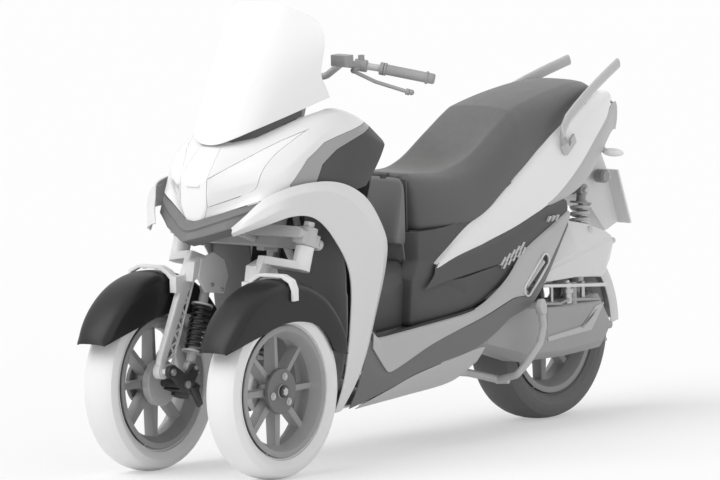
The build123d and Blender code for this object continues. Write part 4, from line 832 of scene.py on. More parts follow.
# %% Opening around the passenger's peg
PEG_MIDDLE = (1363, 486)
PEG_TILT = math.atan2(80, 102)
slot_outline = []
for step in range(24):
    turn = math.tau * step / 24
    along = math.copysign(64, math.cos(turn)) + 20 * math.cos(turn)
    across = 20 * math.sin(turn)
    slot_outline.append((
        PEG_MIDDLE[0] + along * math.cos(PEG_TILT) - across * math.sin(PEG_TILT),
        PEG_MIDDLE[1] + along * math.sin(PEG_TILT) + across * math.cos(PEG_TILT),
    ))
upper_cut = cut(upper_wall.data, prism(slot_outline, "side", (-300, 300)), "DIFFERENCE")
bpy.data.objects.remove(upper_wall)
upper_skirts = cut_piece("upper_skirts", upper_cut, "skirt_grey", ["side_skirts"], edge=1.2)

# %% Dark band and lower skirt
SKIRT_BAND = [
    rail(236, 492, 392, 238, 462, 300, 228, 440, 226, 211, 422, 171),
    rail(235.5, 536, 344, 240, 500, 280, 232, 478, 222, 216, 462, 180),
    rail(235.5, 584, 282, 239, 568, 250, 234, 560, 226, 227, 552, 204),
    rail(235.5, 640, 288, 240, 640, 264, 237, 634, 242, 234, 628, 222),
    rail(236, 706, 314, 240, 706, 288, 239, 706, 270, 238, 706, 248),
    rail(236.5, 796, 338, 240, 806, 312, 239, 820, 294, 237, 834, 266),
    rail(238, 950, 362, 240, 954, 344, 238, 960, 316, 235, 966, 284),
    rail(235, 1040, 378, 237, 1048, 358, 235, 1056, 332, 231, 1066, 298),
    rail(228, 1160, 404, 231, 1164, 388, 229, 1172, 366, 226, 1178, 346),
    rail(224, 1262, 436, 228, 1258, 414, 227, 1240, 392, 224, 1230, 376),
    rail(221, 1330, 420, 224, 1334, 408, 223, 1338, 398, 220, 1342, 388),
    rail(206, 1440, 510, 209, 1440, 502, 208, 1442, 494, 205, 1445, 482),
    rail(190, 1562, 628, 194, 1558, 620, 195, 1552, 610, 193, 1545, 598),
]
skirt_bands = panel("skirt_band_shell", SKIRT_BAND, "trim_grey", stands_for=["skirt_bands"], thickness=3, crease_columns=(1,), crease=0.5)

SKIRT_LOWER = [
    rail(215, 468, 176, 214, 466, 172, 212, 462, 169, 206, 458, 166),
    rail(228, 560, 202, 228, 562, 196, 225, 566, 186, 216, 570, 176),
    rail(233, 632, 222, 233, 634, 214, 230, 636, 202, 218, 640, 180),
    rail(238, 706, 245, 238, 708, 234, 234, 710, 212, 220, 712, 186),
    rail(237, 830, 263, 237, 834, 250, 233, 838, 224, 221, 842, 192),
    rail(234, 960, 282, 234, 956, 268, 231, 950, 238, 222, 944, 204),
    rail(231, 1060, 296, 231, 1048, 284, 229, 1030, 262, 224, 1010, 236),
    rail(229, 1086, 292, 229, 1076, 282, 228, 1062, 268, 226, 1046, 252),
]
lower_skirts = panel("lower_skirts", SKIRT_LOWER, "skirt_grey", thickness=3)
print("skirt pieces: 3 a side")

# %% [markdown]
# ### Tail
#
# A white panel rises from the floor's rear end along the seat. Under it lies a light grey one
# that ends over the rear wheel, and a dark trim joins both to the skirt.

# %% Tail panels
TAIL_UPPER = [
    rail(165, 913, 568, 180, 913, 564, 185, 911, 561, 188, 908, 557, 187, 906, 554),
    rail(169, 986, 612, 184, 986, 608, 192, 986, 600, 196, 990, 586, 193, 996, 574),
    rail(167, 1078, 671, 182, 1078, 655, 192, 1082, 640, 199, 1088, 616, 195, 1092, 597),
    rail(165, 1140, 692, 180, 1140, 676, 191, 1150, 662, 200, 1160, 636, 197, 1168, 617),
    rail(162, 1240, 746, 177, 1240, 730, 190, 1252, 708, 200, 1270, 672, 198, 1286, 640),
    rail(159, 1330, 794, 174, 1330, 778, 188, 1344, 750, 199, 1360, 706, 197, 1376, 668),
    rail(155, 1448, 854, 170, 1448, 838, 184, 1458, 800, 195, 1468, 742, 192, 1474, 692),
    rail(149, 1550, 906, 164, 1550, 890, 177, 1562, 852, 187, 1576, 800, 182, 1588, 752),
    rail(135, 1650, 946, 150, 1650, 930, 164, 1662, 900, 173, 1676, 858, 168, 1688, 816),
    rail(115, 1740, 984, 130, 1740, 968, 145, 1752, 944, 153, 1764, 910, 150, 1772, 876),
    rail(97, 1830, 1004, 112, 1830, 988, 124, 1838, 972, 131, 1846, 946, 130, 1850, 916),
    rail(89, 1890, 994, 104, 1890, 990, 109, 1892, 982, 112, 1890, 970, 112, 1886, 956),
]
TAIL_LOWER = [
    rail(194, 1425, 696, 194, 1428, 694, 193, 1432, 692, 191, 1440, 690),
    rail(192, 1476, 694, 192, 1480, 692, 190, 1486, 689, 186, 1492, 686),
    rail(182, 1588, 754, 182, 1592, 744, 178, 1600, 724, 171, 1606, 706),
    rail(168, 1688, 818, 168, 1692, 800, 163, 1700, 764, 154, 1706, 734),
    rail(150, 1772, 878, 151, 1776, 858, 146, 1784, 822, 136, 1790, 790),
    rail(130, 1850, 918, 132, 1852, 902, 128, 1856, 874, 118, 1860, 846),
    rail(113, 1888, 956, 116, 1894, 938, 113, 1900, 908, 106, 1904, 876),
    rail(103, 1926, 958, 106, 1928, 942, 105, 1930, 908, 98, 1928, 870),
]
tail_panels = panel("tail_upper_shell", TAIL_UPPER, "shell_white", stands_for=["tail_panels"], thickness=3.5, crease_columns=(1, 2), crease=0.5)
tail_lowers = panel("tail_lower_shell", TAIL_LOWER, "skirt_grey", stands_for=["tail_lowers"], thickness=3, crease_columns=(1,), crease=0.5)

# %% Cover between the grab rails
COVER = [
    rail(0, 1852, 992, 50, 1852, 991, 90, 1854, 986, 98, 1856, 978),
    rail(0, 1880, 988, 50, 1880, 987, 88, 1881, 982, 97, 1882, 974),
    rail(0, 1912, 976, 48, 1912, 975, 84, 1912, 971, 94, 1912, 964),
    rail(0, 1934, 962, 46, 1934, 961, 80, 1933, 958, 91, 1932, 952),
    rail(0, 1937, 952, 46, 1937, 951, 79, 1936, 949, 90, 1935, 945),
]
tail_cover = panel("tail_cover", COVER, "shell_light", outwards=(0, 0.2, 1), thickness=3, crease_rows=(3,), crease_columns=(2,), crease=0.4)

# %% Lower trims
TRIM = [
    rail(182, 905, 561, 189, 890, 536, 192, 864, 514, 192, 836, 494),
    rail(187, 986, 599, 196, 972, 572, 199, 946, 540, 197, 928, 508),
    rail(190, 1080, 607, 201, 1068, 586, 204, 1046, 548, 200, 1030, 520),
    rail(192, 1180, 621, 204, 1170, 602, 207, 1158, 566, 203, 1146, 532),
    rail(193, 1290, 645, 204, 1284, 626, 208, 1270, 590, 204, 1256, 540),
    rail(191, 1392, 677, 202, 1384, 660, 205, 1370, 622, 199, 1352, 578),
    rail(183, 1476, 697, 194, 1468, 682, 197, 1456, 648, 189, 1444, 604),
    rail(171, 1560, 703, 184, 1566, 692, 187, 1568, 676, 182, 1570, 654),
]
lower_trims = panel("lower_trim_shell", TRIM, "trim_dark", stands_for=["lower_trims"], thickness=3, crease_columns=(1,), crease=0.6)
print("tail rows:", len(TAIL_UPPER), len(TAIL_LOWER), len(TRIM))

# %% [markdown]
# ## Seat
#
# The seat is moulded foam under a leather-like cover. It has a low, wide place for the rider,
# a ramp that holds the rider's back and a flat place for the passenger. The foam is firm and
# the cover is stretched over it, so the closed form is drawn as a cage of sections and rounded.

# %% Cover material
cover = bpy.data.materials.new("seat_cover")
cover.use_nodes = True
tree = cover.node_tree
shader = tree.nodes["Principled BSDF"]
shader.inputs["Sheen Weight"].default_value = 0.12
shader.inputs["Sheen Roughness"].default_value = 0.4
spot = add_node(tree, "ShaderNodeTexCoord")
cells = add_node(
    tree, "ShaderNodeTexVoronoi", {"Vector": spot.outputs["Object"], "Scale": 620.0, "Randomness": 0.9},
    feature="DISTANCE_TO_EDGE",
)
creases = add_node(tree, "ShaderNodeMapRange", {"Value": cells.outputs["Distance"], "From Max": 0.12})
pores = add_node(tree, "ShaderNodeTexNoise", {"Vector": spot.outputs["Object"], "Scale": 2400.0, "Detail": 2.0})
mixed = add_node(tree, "ShaderNodeMath", {0: creases.outputs[0], 1: pores.outputs["Fac"]}, operation="MULTIPLY")
grain_bump = add_node(tree, "ShaderNodeBump", {"Height": mixed.outputs[0], "Strength": 0.22, "Distance": 0.0005})
tone = add_node(tree, "ShaderNodeGroup", node_tree=drift)
tone.inputs["Color"].default_value = (0.104, 0.104, 0.104, 1)
tone.inputs["Size"].default_value = 6.0
tone.inputs["Amount"].default_value = 0.12
worn = add_node(tree, "ShaderNodeGroup", node_tree=dust)
worn.inputs["Amount"].default_value = 0.12
tree.links.new(tone.outputs["Color"], worn.inputs["Color"])
gloss = add_node(tree, "ShaderNodeMapRange", {"Value": creases.outputs[0], "To Min": 0.62, "To Max": 0.48})
tree.links.new(worn.outputs["Color"], shader.inputs["Base Color"])
tree.links.new(gloss.outputs[0], shader.inputs["Roughness"])
tree.links.new(grain_bump.outputs["Normal"], shader.inputs["Normal"])
FINISH["seat_cover"] = cover

# %% Sections of the foam, from the middle of the top round to the middle of the underside
SEAT = [
    rail(0, 870, 846, 36, 870, 846, 66, 870, 845, 86, 870, 836, 101, 870, 812, 112, 870, 756, 111, 870, 668, 0, 870, 664),
    rail(0, 900, 844, 46, 900, 844, 84, 900, 843, 108, 900, 830, 125, 900, 800, 137, 900, 738, 133, 900, 668, 0, 900, 662),
    rail(0, 960, 836, 54, 960, 838, 98, 960, 838, 126, 960, 824, 143, 960, 794, 156, 960, 734, 150, 960, 668, 0, 960, 664),
    rail(0, 1040, 827, 58, 1040, 830, 108, 1040, 833, 141, 1040, 820, 157, 1040, 792, 171, 1040, 727, 167, 1040, 668, 0, 1040, 662),
    rail(0, 1110, 830, 60, 1110, 838, 113, 1110, 851, 147, 1110, 831, 162, 1110, 800, 175, 1110, 735, 173, 1110, 672, 0, 1110, 666),
    rail(0, 1160, 836, 60, 1160, 850, 118, 1160, 870, 151, 1160, 845, 166, 1160, 808, 176, 1160, 743, 174, 1160, 688, 0, 1160, 682),
    rail(0, 1206, 850, 60, 1206, 872, 120, 1206, 896, 153, 1206, 867, 167, 1206, 828, 176, 1206, 765, 174, 1206, 710, 0, 1206, 704),
    rail(0, 1240, 878, 60, 1240, 900, 120, 1240, 916, 153, 1240, 883, 167, 1240, 844, 175, 1240, 787, 172, 1240, 732, 0, 1240, 728),
    rail(0, 1284, 928, 60, 1284, 936, 119, 1284, 940, 151, 1284, 907, 165, 1284, 866, 173, 1284, 813, 170, 1284, 758, 0, 1284, 754),
    rail(0, 1330, 974, 60, 1330, 974, 118, 1330, 966, 149, 1330, 938, 163, 1330, 898, 170, 1330, 845, 168, 1330, 786, 0, 1330, 782),
    rail(0, 1372, 997, 58, 1372, 997, 115, 1372, 988, 145, 1372, 962, 158, 1372, 924, 167, 1372, 873, 165, 1372, 810, 0, 1372, 804),
    rail(0, 1400, 1003, 58, 1400, 1003, 113, 1400, 995, 142, 1400, 970, 155, 1400, 934, 164, 1400, 887, 162, 1400, 824, 0, 1400, 818),
    rail(0, 1490, 1021, 56, 1490, 1021, 105, 1490, 1014, 135, 1490, 995, 149, 1490, 966, 155, 1490, 921, 154, 1490, 868, 0, 1490, 862),
    rail(0, 1600, 1034, 54, 1600, 1034, 100, 1600, 1028, 128, 1600, 1012, 141, 1600, 988, 145, 1600, 953, 144, 1600, 916, 0, 1600, 910),
    rail(0, 1720, 1045, 48, 1720, 1045, 88, 1720, 1040, 115, 1720, 1026, 127, 1720, 1008, 130, 1720, 988, 127, 1720, 966, 0, 1720, 962),
    rail(0, 1800, 1036, 38, 1800, 1036, 68, 1800, 1032, 90, 1800, 1024, 102, 1800, 1013, 104, 1800, 1001, 101, 1800, 988, 0, 1800, 984),
    rail(0, 1828, 1022, 30, 1828, 1022, 58, 1828, 1020, 78, 1828, 1014, 88, 1828, 1008, 90, 1828, 999, 86, 1828, 992, 0, 1828, 992),
]


def seat_form():
    """The foam as a closed form."""
    shape = cage(SEAT, (0, 0, 1), crease_rows=(10,), crease_columns=(2, 6), crease=0.5)
    mirrored(shape)
    ends = [edge for edge in shape.edges if edge.is_boundary]
    bmesh.ops.holes_fill(shape, edges=ends, sides=0)
    bmesh.ops.recalc_face_normals(shape, faces=shape.faces[:])
    return shape


shape = seat_form()
print("seat open edges:", sum(edge.is_boundary for edge in shape.edges))
seat = new_piece("seat_pad", shape, "seat_cover", "seat", ["seat_cushion"], sharp=180)
smooth = seat.modifiers.new("rounding", "SUBSURF")
smooth.levels = smooth.render_levels = 3
print("seat sections:", len(SEAT))

# %% [markdown]
# The foot well is one big moulding: a floor on each side, a low tunnel between the feet, a cap
# that closes the tunnel in front of the seat, and walls that run back under the seat. The floor
# and the leg shield are kept from the CAD node, cut off level where the tunnel starts, and the
# forms that show are panels over it.

# %% Floor and leg shield
well_mesh = bpy.data.meshes.new("well")
whole = merged_copy("footwell")
whole.to_mesh(well_mesh)
whole.free()
TUNNEL_CUT = [(480.5, 498), (480.5, 560), (512, 702), (540, 760), (838, 850), (838, 790), (856, 790), (856, 498)]
well_wall = cut(well_mesh, prism(TUNNEL_CUT, "side", (-160, 160)), "DIFFERENCE")
STUB_CUT = [(826, 784), (826, 852), (880, 852), (880, 784)]
for span in ((45, 160), (-160, -45)):
    well_wall = cut(well_wall, prism(STUB_CUT, "side", span), "DIFFERENCE")
foot_well = cut_piece("foot_well_shell", well_wall, "well_dark", ["footwell"], edge=1.2, turn=30)
print("foot well faces:", len(foot_well.data.polygons))

# %% Tunnel, cap and walls below the seat
TUNNEL = [
    rail(0, 479, 560, 74, 479, 557, 103, 479, 532, 128, 479, 474, 135, 479, 372),
    rail(0, 600, 564, 77, 600, 561, 107, 600, 536, 131, 600, 484, 138, 600, 374),
    rail(0, 720, 571, 81, 720, 567, 111, 720, 542, 134, 720, 502, 142, 720, 378),
    rail(0, 842, 584, 88, 842, 580, 116, 842, 556, 138.5, 842, 520, 147, 842, 382),
]
panel("tunnel_top", TUNNEL, "well_dark", outwards=(0.5, 0, 1), thickness=2, crease_columns=(1, 2, 3), crease=0.5, edge=0)
CAP = [
    rail(0, 844, 572, 60, 844, 572, 96, 844, 572, 110, 845, 572, 112, 852, 572),
    rail(0, 842, 628, 60, 842, 628, 96, 842, 628, 103, 843, 628, 104, 852, 628),
    rail(0, 801, 637, 60, 801, 637, 96, 804, 637, 107, 814, 637, 108, 850, 637),
    rail(0, 799, 650, 60, 799, 650, 97, 802, 650, 108, 813, 650, 109, 850, 650),
    rail(0, 811, 716, 58, 811, 716, 95, 814, 716, 108, 824, 716, 109, 850, 716),
    rail(0, 828, 780, 56, 828, 780, 90, 831, 780, 106, 840, 780, 108, 850, 780),
    rail(0, 837, 812, 50, 837, 812, 82, 839, 811, 102, 844, 808, 107, 850, 804),
    rail(0, 841, 829, 44, 841, 829, 74, 843, 828, 93, 846, 825, 99, 851, 822),
    rail(0, 848, 836, 40, 848, 836, 66, 849, 835, 82, 850, 833, 88, 852, 831),
]
panel("tunnel_cap", CAP, "cap_grey", outwards=(0, -1, 0), thickness=2, crease_rows=(1, 2, 3), crease_columns=(3,), crease=0.5)
WALLS = [
    rail(94, 846, 668, 96, 846, 644, 100, 844, 580, 122, 802, 530, 128, 794, 500, 134, 776, 389),
    rail(132, 862, 668, 136, 860, 644, 141, 856, 580, 158, 808, 527, 162, 800, 505, 168, 780, 388),
    rail(144, 872, 668, 147, 868, 644, 150, 862, 580, 165, 812, 525, 168, 804, 503, 173, 784, 388),
    rail(158, 935, 668, 161, 930, 644, 167, 924, 584, 177, 880, 530, 180, 850, 500, 190, 800, 389),
    rail(166, 1040, 678, 170, 1040, 650, 178, 1042, 590, 184, 1042, 530, 188, 1043, 490, 198, 1045, 403),
    rail(168, 1180, 710, 174, 1180, 680, 184, 1180, 620, 190, 1180, 560, 192, 1180, 530, 198, 1180, 455),
    rail(166, 1310, 784, 174, 1310, 750, 186, 1310, 690, 192, 1310, 640, 194, 1310, 610, 197, 1310, 556),
]
panel("console_walls", WALLS, "well_dark", thickness=3, crease_rows=(2,), crease_columns=(2, 3, 4), crease=0.8, edge=0)
print("foot well panels:", len(TUNNEL) + len(CAP) + len(WALLS), "rows")

# %% [markdown]
# ## Tyres
#
# A tyre is turned about its axle: half a section is spun round in steps. These tyres are
# slicks with a crisp shoulder between the side wall and the tread.

# %% Tyre
def tyre(node, slot, rim_radius, body_round, steps=144):
    """A turned tyre in the place of a CAD tyre."""
    low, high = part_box(node)
    centre = (low + high) / 2
    radius = (high.z - low.z) / 2
    half = (high.x - low.x) / 2
    section = [
        (-0.62, rim_radius - 0.001), (-0.70, rim_radius + 0.004), (-0.72, rim_radius + 0.008), (-0.80, rim_radius + 0.010),
        (-0.82, rim_radius + 0.013), (-0.93, rim_radius + 0.022), (-1.0, rim_radius + 0.036), (-0.99, radius - 0.034),
        (-0.955, radius - 0.025), (-0.86, radius - 0.0125), (-0.66, radius - 0.0060), (-0.46, radius - 0.0026),
        (-0.24, radius - 0.0006), (-0.08, radius),
    ]
    section += [(-across, reach) for across, reach in reversed(section)]
    shape = bmesh.new()
    line = [shape.verts.new(centre + Vector((across * half, 0, reach))) for across, reach in section]
    edges = [shape.edges.new(pair) for pair in zip(line, line[1:])]
    bmesh.ops.spin(
        shape, geom=line + edges, cent=centre, axis=(1, 0, 0), angle=math.tau, steps=steps, use_merge=True, dvec=(0, 0, 0),
    )
    bmesh.ops.remove_doubles(shape, verts=shape.verts, dist=0.00005)
    shape.normal_update()
    if sum(face.normal.dot(face.calc_center_median() - centre) for face in shape.faces) < 0:
        bmesh.ops.reverse_faces(shape, faces=shape.faces[:])
    print(node, "faces:", len(shape.faces))
    return new_piece(node + "_rubber", shape, slot, body_round, [node], sharp=20)


front_tyres = [tyre(side + "_front_tyre", "tyre_white", 0.204, side + "_front_wheel") for side in ("left", "right")]
rear_tyre = tyre("rear_tyre", "tyre_dark", 0.192, "rear_wheel")
# %% [markdown]
# ## Fittings
#
# Bolts, caps, ribs and cover plates are small forms that sit on the larger ones. Most are
# rods and flat plates, so two helpers make them, and one more sweeps a section along a path.

# %% Helpers for fittings
def rod(shape, start, end, radius, sides=28):
    """Adds a round rod from one place to another; six sides make a nut."""
    run = end - start
    made = bmesh.ops.create_cone(
        shape, cap_ends=True, segments=sides, radius1=radius / 1000, radius2=radius / 1000, depth=run.length,
    )
    turn = run.to_track_quat("Z", "Y").to_matrix().to_4x4()
    bmesh.ops.transform(shape, matrix=Matrix.Translation((start + end) / 2) @ turn, verts=made["verts"])


def cross_rod(shape, side, x_from, x_to, aft, z, radius, sides=28):
    """Adds a rod that lies across the machine, on one side."""
    rod(shape, at(side * x_from, aft, z), at(side * x_to, aft, z), radius, sides)


def plate(shape, side, outline, x_from, x_to):
    """Adds a flat plate with a side-view outline, between two distances from the middle."""
    made = prism(outline, "side", (side * x_from, side * x_to))
    mesh = bpy.data.meshes.new("plate")
    made.to_mesh(mesh)
    made.free()
    shape.from_mesh(mesh)
    bpy.data.meshes.remove(mesh)


def fitting(name, shape, slot, body="chassis", width=1.0, turn=35, stands_for=()):
    """Finishes a fitting with a small bevel along its edges."""
    piece = new_piece(name, shape, slot, body, stands_for, sharp=34)
    edge = piece.modifiers.new("edge", "BEVEL")
    edge.width = width / 1000
    edge.segments = 2
    edge.limit_method = "ANGLE"
    edge.angle_limit = math.radians(turn)
    return piece


# %% Hubs, brake drums and bolts of the front wheels
for side, word in ((1, "left"), (-1, "right")):
    hub = bmesh.new()
    cross_rod(hub, side, 262, 277.6, 0, 274.5, 71, 64)
    fitting(word + "_hub_cover", hub, "hub_grey", word + "_front_wheel", 2.5)
    ends = bmesh.new()
    cross_rod(ends, side, 277, 281.5, 0, 274.5, 21, 40)
    cross_rod(ends, side, 281, 287, 0, 274.5, 17, 40)
    cross_rod(ends, side, 287, 293.5, 0, 274.5, 13, 6)
    for turn in (107, -13, 227):
        back = 47 * math.cos(math.radians(turn))
        up = 47 * math.sin(math.radians(turn))
        cross_rod(ends, side, 277, 281, -back, 274.5 + up, 12, 32)
        cross_rod(ends, side, 281, 285, -back, 274.5 + up, 7.5, 6)
    fitting(word + "_hub_bolts", ends, "metal_light", word + "_front_wheel", 0.8)
    drum = bmesh.new()
    cross_rod(drum, side, 187, 213, 0, 274.5, 72, 64)
    fitting(word + "_drum", drum, "metal_light", word + "_front_wheel", 3.0, stands_for=[word + "_front_disc"])

    bolts = bmesh.new()
    for back, up, reach, radius in (
        (137, 569, 89.5, 6.5), (185, 549, 89.5, 6.5), (-70, 320, 86, 11), (0, 274.5, 85.5, 12), (46, 322, 88, 8), (60, 306, 90, 5),
    ):
        cross_rod(bolts, side, reach, 104, back, up, radius, 6 if radius < 10 else 32)
        cross_rod(bolts, side, reach - 2.5, reach, back, up, radius * 0.55, 20)
    fitting(word + "_link_bolts", bolts, "steel", word + "_knuckle", 0.7)
    ribs = bmesh.new()
    for step in range(7):
        near, far = step / 6, (step + 0.5) / 6
        spots = [
            at(side * 140, -36 + 112 * near, 352 + 240 * near), at(side * 140, -8 + 112 * far, 344 + 240 * far),
            at(side * 140, -36 + 112 * (near + 1 / 6), 352 + 240 * (near + 1 / 6)),
        ]
        rod(ribs, spots[0], spots[1], 3.6, 12)
        if step < 6:
            rod(ribs, spots[1], spots[2], 3.6, 12)
    rod(ribs, at(side * 140, -12, 336), at(side * 140, 106, 590), 4.5, 16)
    rod(ribs, at(side * 140, -46, 332), at(side * 140, -12, 336), 5, 12)
    fitting(word + "_leg_ribs", ribs, "metal_white", word + "_knuckle", 0.5)
print("hub fittings done")


# %% Sweeping a section along a path
def sweep(shape, path, wide, thick, level=Vector((0, 0, 1)), sides=20):
    """Adds a rounded band of two sizes along a path of places; its width stands upright."""
    frames = []
    for spot, before, after in zip(path, path[:1] + path[:-1], path[1:] + path[-1:]):
        along = (after - before).normalized()
        side = along.cross(level).normalized()
        frames.append(Matrix.Translation(spot) @ Matrix((side, side.cross(along) * -1, along)).transposed().to_4x4())
    ring = bmesh.ops.create_circle(shape, cap_ends=False, segments=sides, radius=0.5)["verts"]
    bmesh.ops.scale(shape, vec=(thick / 1000, wide / 1000, 1), verts=ring)
    bmesh.ops.transform(shape, matrix=frames[0], verts=ring)
    edges = list({edge for vert in ring for edge in vert.link_edges})
    for last, new in zip(frames, frames[1:]):
        made = bmesh.ops.extrude_edge_only(shape, edges=edges)["geom"]
        ring = [part for part in made if isinstance(part, bmesh.types.BMVert)]
        edges = [part for part in made if isinstance(part, bmesh.types.BMEdge) and all(vert in ring for vert in part.verts)]
        bmesh.ops.transform(shape, matrix=new @ last.inverted(), verts=ring)
    bmesh.ops.holes_fill(shape, edges=[edge for edge in shape.edges if edge.is_boundary], sides=0)
    bmesh.ops.recalc_face_normals(shape, faces=shape.faces[:])


# %% Grab rails
RAIL_PATH = [
    (184, 1572, 842), (185, 1559, 868), (183, 1554, 890), (179, 1562, 916), (173, 1594, 945), (165, 1643, 970),
    (152, 1710, 998), (135, 1784, 1024), (115, 1868, 1050), (95, 1950, 1073),
]
rails = bmesh.new()
for side in (1, -1):
    sweep(rails, [at(side * x, aft, z) for x, aft, z in RAIL_PATH], 34, 17)
    plate(rails, side, [(1560, 842), (1572, 832), (1618, 868), (1608, 896), (1590, 880), (1592, 868)], 178, 187)
fitting("grab_rail_bands", rails, "metal_light", width=1.5, stands_for=["grab_rails"])

# %% Covers on the transmission case
case = bmesh.new()
for outline, reach in (
    ([(1452, 374), (1687, 352), (1623, 302), (1445, 289)], 191.5),
    ([(1456, 388), (1530, 381), (1567, 390), (1729, 374), (1726, 366), (1560, 380), (1526, 372), (1456, 379)], 184),
):
    plate(case, 1, outline, 160, reach)
for step in range(4):
    plate(case, 1, [(1688 - step * 14, 344 - step * 9), (1696 - step * 14, 341 - step * 9), (1664 - step * 14, 318 - step * 9), (1656 - step * 14, 321 - step * 9)], 190, 195.5)
for aft, z, radius, reach in ((1770, 286, 12, 186), (1262, 384, 7, 184), (1740, 244, 6, 191), (1362, 246, 6, 191), (1150, 300, 6, 191)):
    cross_rod(case, 1, 150, reach, aft, z, radius)
fitting("case_covers", case, SLOT["transmission_case"], width=1.6)
strip = bmesh.new()
plate(strip, 1, [(1687, 352), (1734, 360), (1667, 281), (1449, 268), (1446, 283), (1630, 298)], 180, 193.5)
fitting("case_strip", strip, "metal_light", width=1.6)

# %% Air cleaner: a box of flat facets with a ridge across its face
CLEANER = [
    rail(164, 1482, 560, 164, 1590, 628, 164, 1692, 606, 160, 1786, 574, 158, 1800, 562),
    rail(190, 1470, 500, 196, 1604, 531, 196, 1704, 549, 190, 1779, 562, 168, 1806, 553),
    rail(187, 1466, 492, 191, 1602, 521, 192, 1703, 541, 188, 1781, 554, 167, 1808, 544),
    rail(190, 1460, 482, 198, 1600, 510, 198, 1701, 532, 192, 1783, 546, 170, 1812, 532),
    rail(178, 1446, 450, 192, 1598, 452, 180, 1690, 443, 166, 1762, 434, 160, 1806, 482),
]
shape = cage(CLEANER, (1, 0, 0))
edges = [edge for edge in shape.edges if edge.is_boundary]
made = bmesh.ops.extrude_edge_only(shape, edges=edges)["geom"]
for vert in made:
    if isinstance(vert, bmesh.types.BMVert):
        vert.co.x = 0.12
bmesh.ops.holes_fill(shape, edges=[edge for edge in shape.edges if edge.is_boundary], sides=0)
bmesh.ops.recalc_face_normals(shape, faces=shape.faces[:])
fitting("air_cleaner_box", shape, SLOT["air_cleaner"], width=3.0, turn=8, stands_for=["air_cleaner"])
cleaner = bmesh.new()
plate(cleaner, 1, [(1440, 436), (1760, 406), (1760, 416), (1440, 446)], 120, 188)
for aft, z in ((1530, 568), (1690, 590), (1800, 544), (1480, 474)):
    cross_rod(cleaner, 1, 150, 184, aft, z, 9)
    cross_rod(cleaner, 1, 184, 188, aft, z, 5, 6)
cross_rod(cleaner, 1, 120, 176, 1576, 436, 9)
fitting("cleaner_covers", cleaner, SLOT["air_cleaner"], width=2.0)
post = bmesh.new()
rod(post, at(172, 1576, 372), at(172, 1576, 436), 13)
rod(post, at(172, 1576, 404), at(172, 1576, 418), 18)
rod(post, at(164, 1660, 372), at(164, 1660, 432), 8)
rod(post, at(168, 1500, 380), at(168, 1500, 440), 6)
fitting("cleaner_posts", post, "steel", width=1.0)

# %% Vents between trim and skirt
vents = bmesh.new()
for side in (1, -1):
    for step in range(5):
        aft, z = 1214 + step * 24, 545 + step * 9
        plate(vents, side, [(aft - 14, z - 12), (aft - 4, z - 15), (aft + 18, z + 9), (aft + 9, z + 12)], 190, 206)
        plate(vents, side, [(aft - 2, z - 24), (aft + 7, z - 26), (aft + 22, z - 8), (aft + 14, z - 4)], 190, 206)
    for step in range(3):
        aft = 1442 + step * 20
        plate(vents, side, [(aft, 642), (aft + 6, 640), (aft + 22, 655), (aft + 16, 658)], 196, 205)
fitting("side_vents", vents, "metal_light", width=0.8)

# %% Lever ends, stand pedal and grille lips
LEVER_END = (352, 583, 1144)
levers = bmesh.new()
for side in (1, -1):
    bmesh.ops.create_uvsphere(levers, u_segments=24, v_segments=16, radius=0.009, matrix=Matrix.Translation(at(side * LEVER_END[0], *LEVER_END[1:])))
fitting("lever_ends", levers, "metal_grey", BODY["hand_controls"], width=0.4)
pedal = bmesh.new()
sweep(pedal, [at(254, 1330, 392), at(270, 1331, 394)], 50, 36)
fitting("stand_pedal", pedal, "metal_light", BODY["centre_stand"], width=1.5)
lips = bmesh.new()
for wide, top, low in ((27, 908, 900),):
    made = prism([(-wide, top), (wide, top), (wide - 4, low), (4 - wide, low)], "front", (-75.2, -60))
    mesh = bpy.data.meshes.new("lip")
    made.to_mesh(mesh)
    made.free()
    lips.from_mesh(mesh)
fitting("grille_lips", lips, "shell_white", width=2.0)

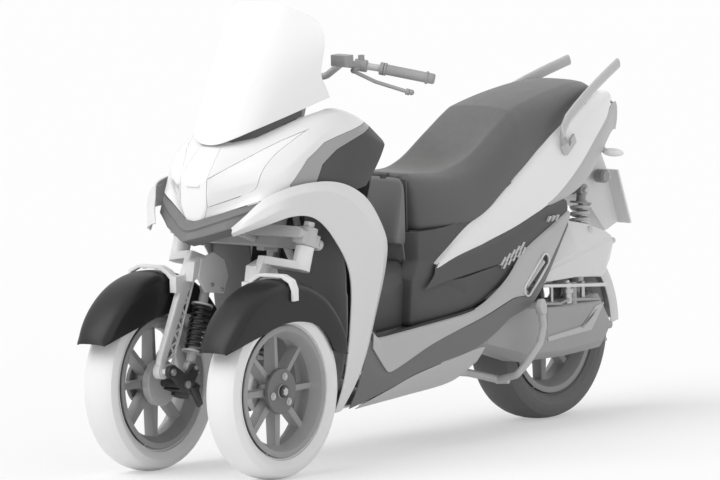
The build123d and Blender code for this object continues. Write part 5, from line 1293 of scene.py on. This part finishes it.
# %% Rims around the peg openings and the reflector on the plate holder
rims = bmesh.new()
for side in (1, -1):
    ring = [at(side * (225.5 - (aft - 1305) * 0.093), aft, z) for aft, z in slot_outline]
    sweep(rims, ring + ring[:2], 7, 6, level=Vector((side, 0, 0)), sides=10)
fitting("peg_opening_rims", rims, "shell_light", width=0.5)
lens = bmesh.new()
cross_rod(lens, 1, 60, 92, 1881, 729, 21, 40)
cross_rod(lens, 1, 92, 96, 1881, 729, 17, 40)
fitting("plate_reflector", lens, "metal_grey", width=2.0)

# %% A black strip painted as the shadow along the skirt's top edge, and the turn lamps
# The black strip is painted shadow where the upper skirt's crest meets the floor; it is not the edge of a floor mat.
SKIRT_SHADOW_PATH = [(231, 512, 408), (229, 524, 401), (227, 548, 384), (226, 580, 381), (225, 680, 388), (223, 800, 396), (219, 960, 405), (217, 1050, 413)]
painted_shadow_strip = bmesh.new()
for side in (1, -1):
    sweep(painted_shadow_strip, [at(side * x, aft, z) for x, aft, z in SKIRT_SHADOW_PATH], 9, 6, sides=10)
fitting("painted_skirt_shadow", painted_shadow_strip, "mudguard_black", width=0.5)
block = merged_copy("tail_lamps")
parts = loose_parts(block)
bmesh.ops.delete(block, geom=[face for part in parts[1:] for face in part], context="FACES")
round_edges(block, 3.0)
new_piece("tail_lamp_block", block, "lamp", "chassis", ["tail_lamps"], sharp=32)
turn_lamps = bmesh.new()
for side in (1, -1):
    root, tip = at(side * 112, 1843, 811), at(side * 167, 1877, 805)
    turned = (tip - root).to_track_quat("Z", "Y").to_matrix().to_4x4()
    shaped = Matrix.Translation((root + tip) / 2) @ turned @ Matrix.Diagonal((0.011, 0.013, 0.034, 1))
    bmesh.ops.create_uvsphere(turn_lamps, u_segments=32, v_segments=20, radius=1, matrix=shaped)
    rod(turn_lamps, at(side * 102, 1846, 834), at(side * 124, 1850, 812), 5)
fitting("turn_lamps", turn_lamps, "lamp", width=0.5, stands_for=["tail_lamps"])
print("fittings done")

# %% [markdown]
# ## CAD nodes left over
#
# Any CAD node that is still shown gets the finish of its material slot.

# %% Finish
CAD_FINISH_LEFT = [name for name, node in nodes.items() if not node.hide_render]
for name in CAD_FINISH_LEFT:
    nodes[name].data.materials.clear()
    nodes[name].data.materials.append(FINISH[SLOT[name]])
print("CAD nodes still shown:", CAD_FINISH_LEFT)
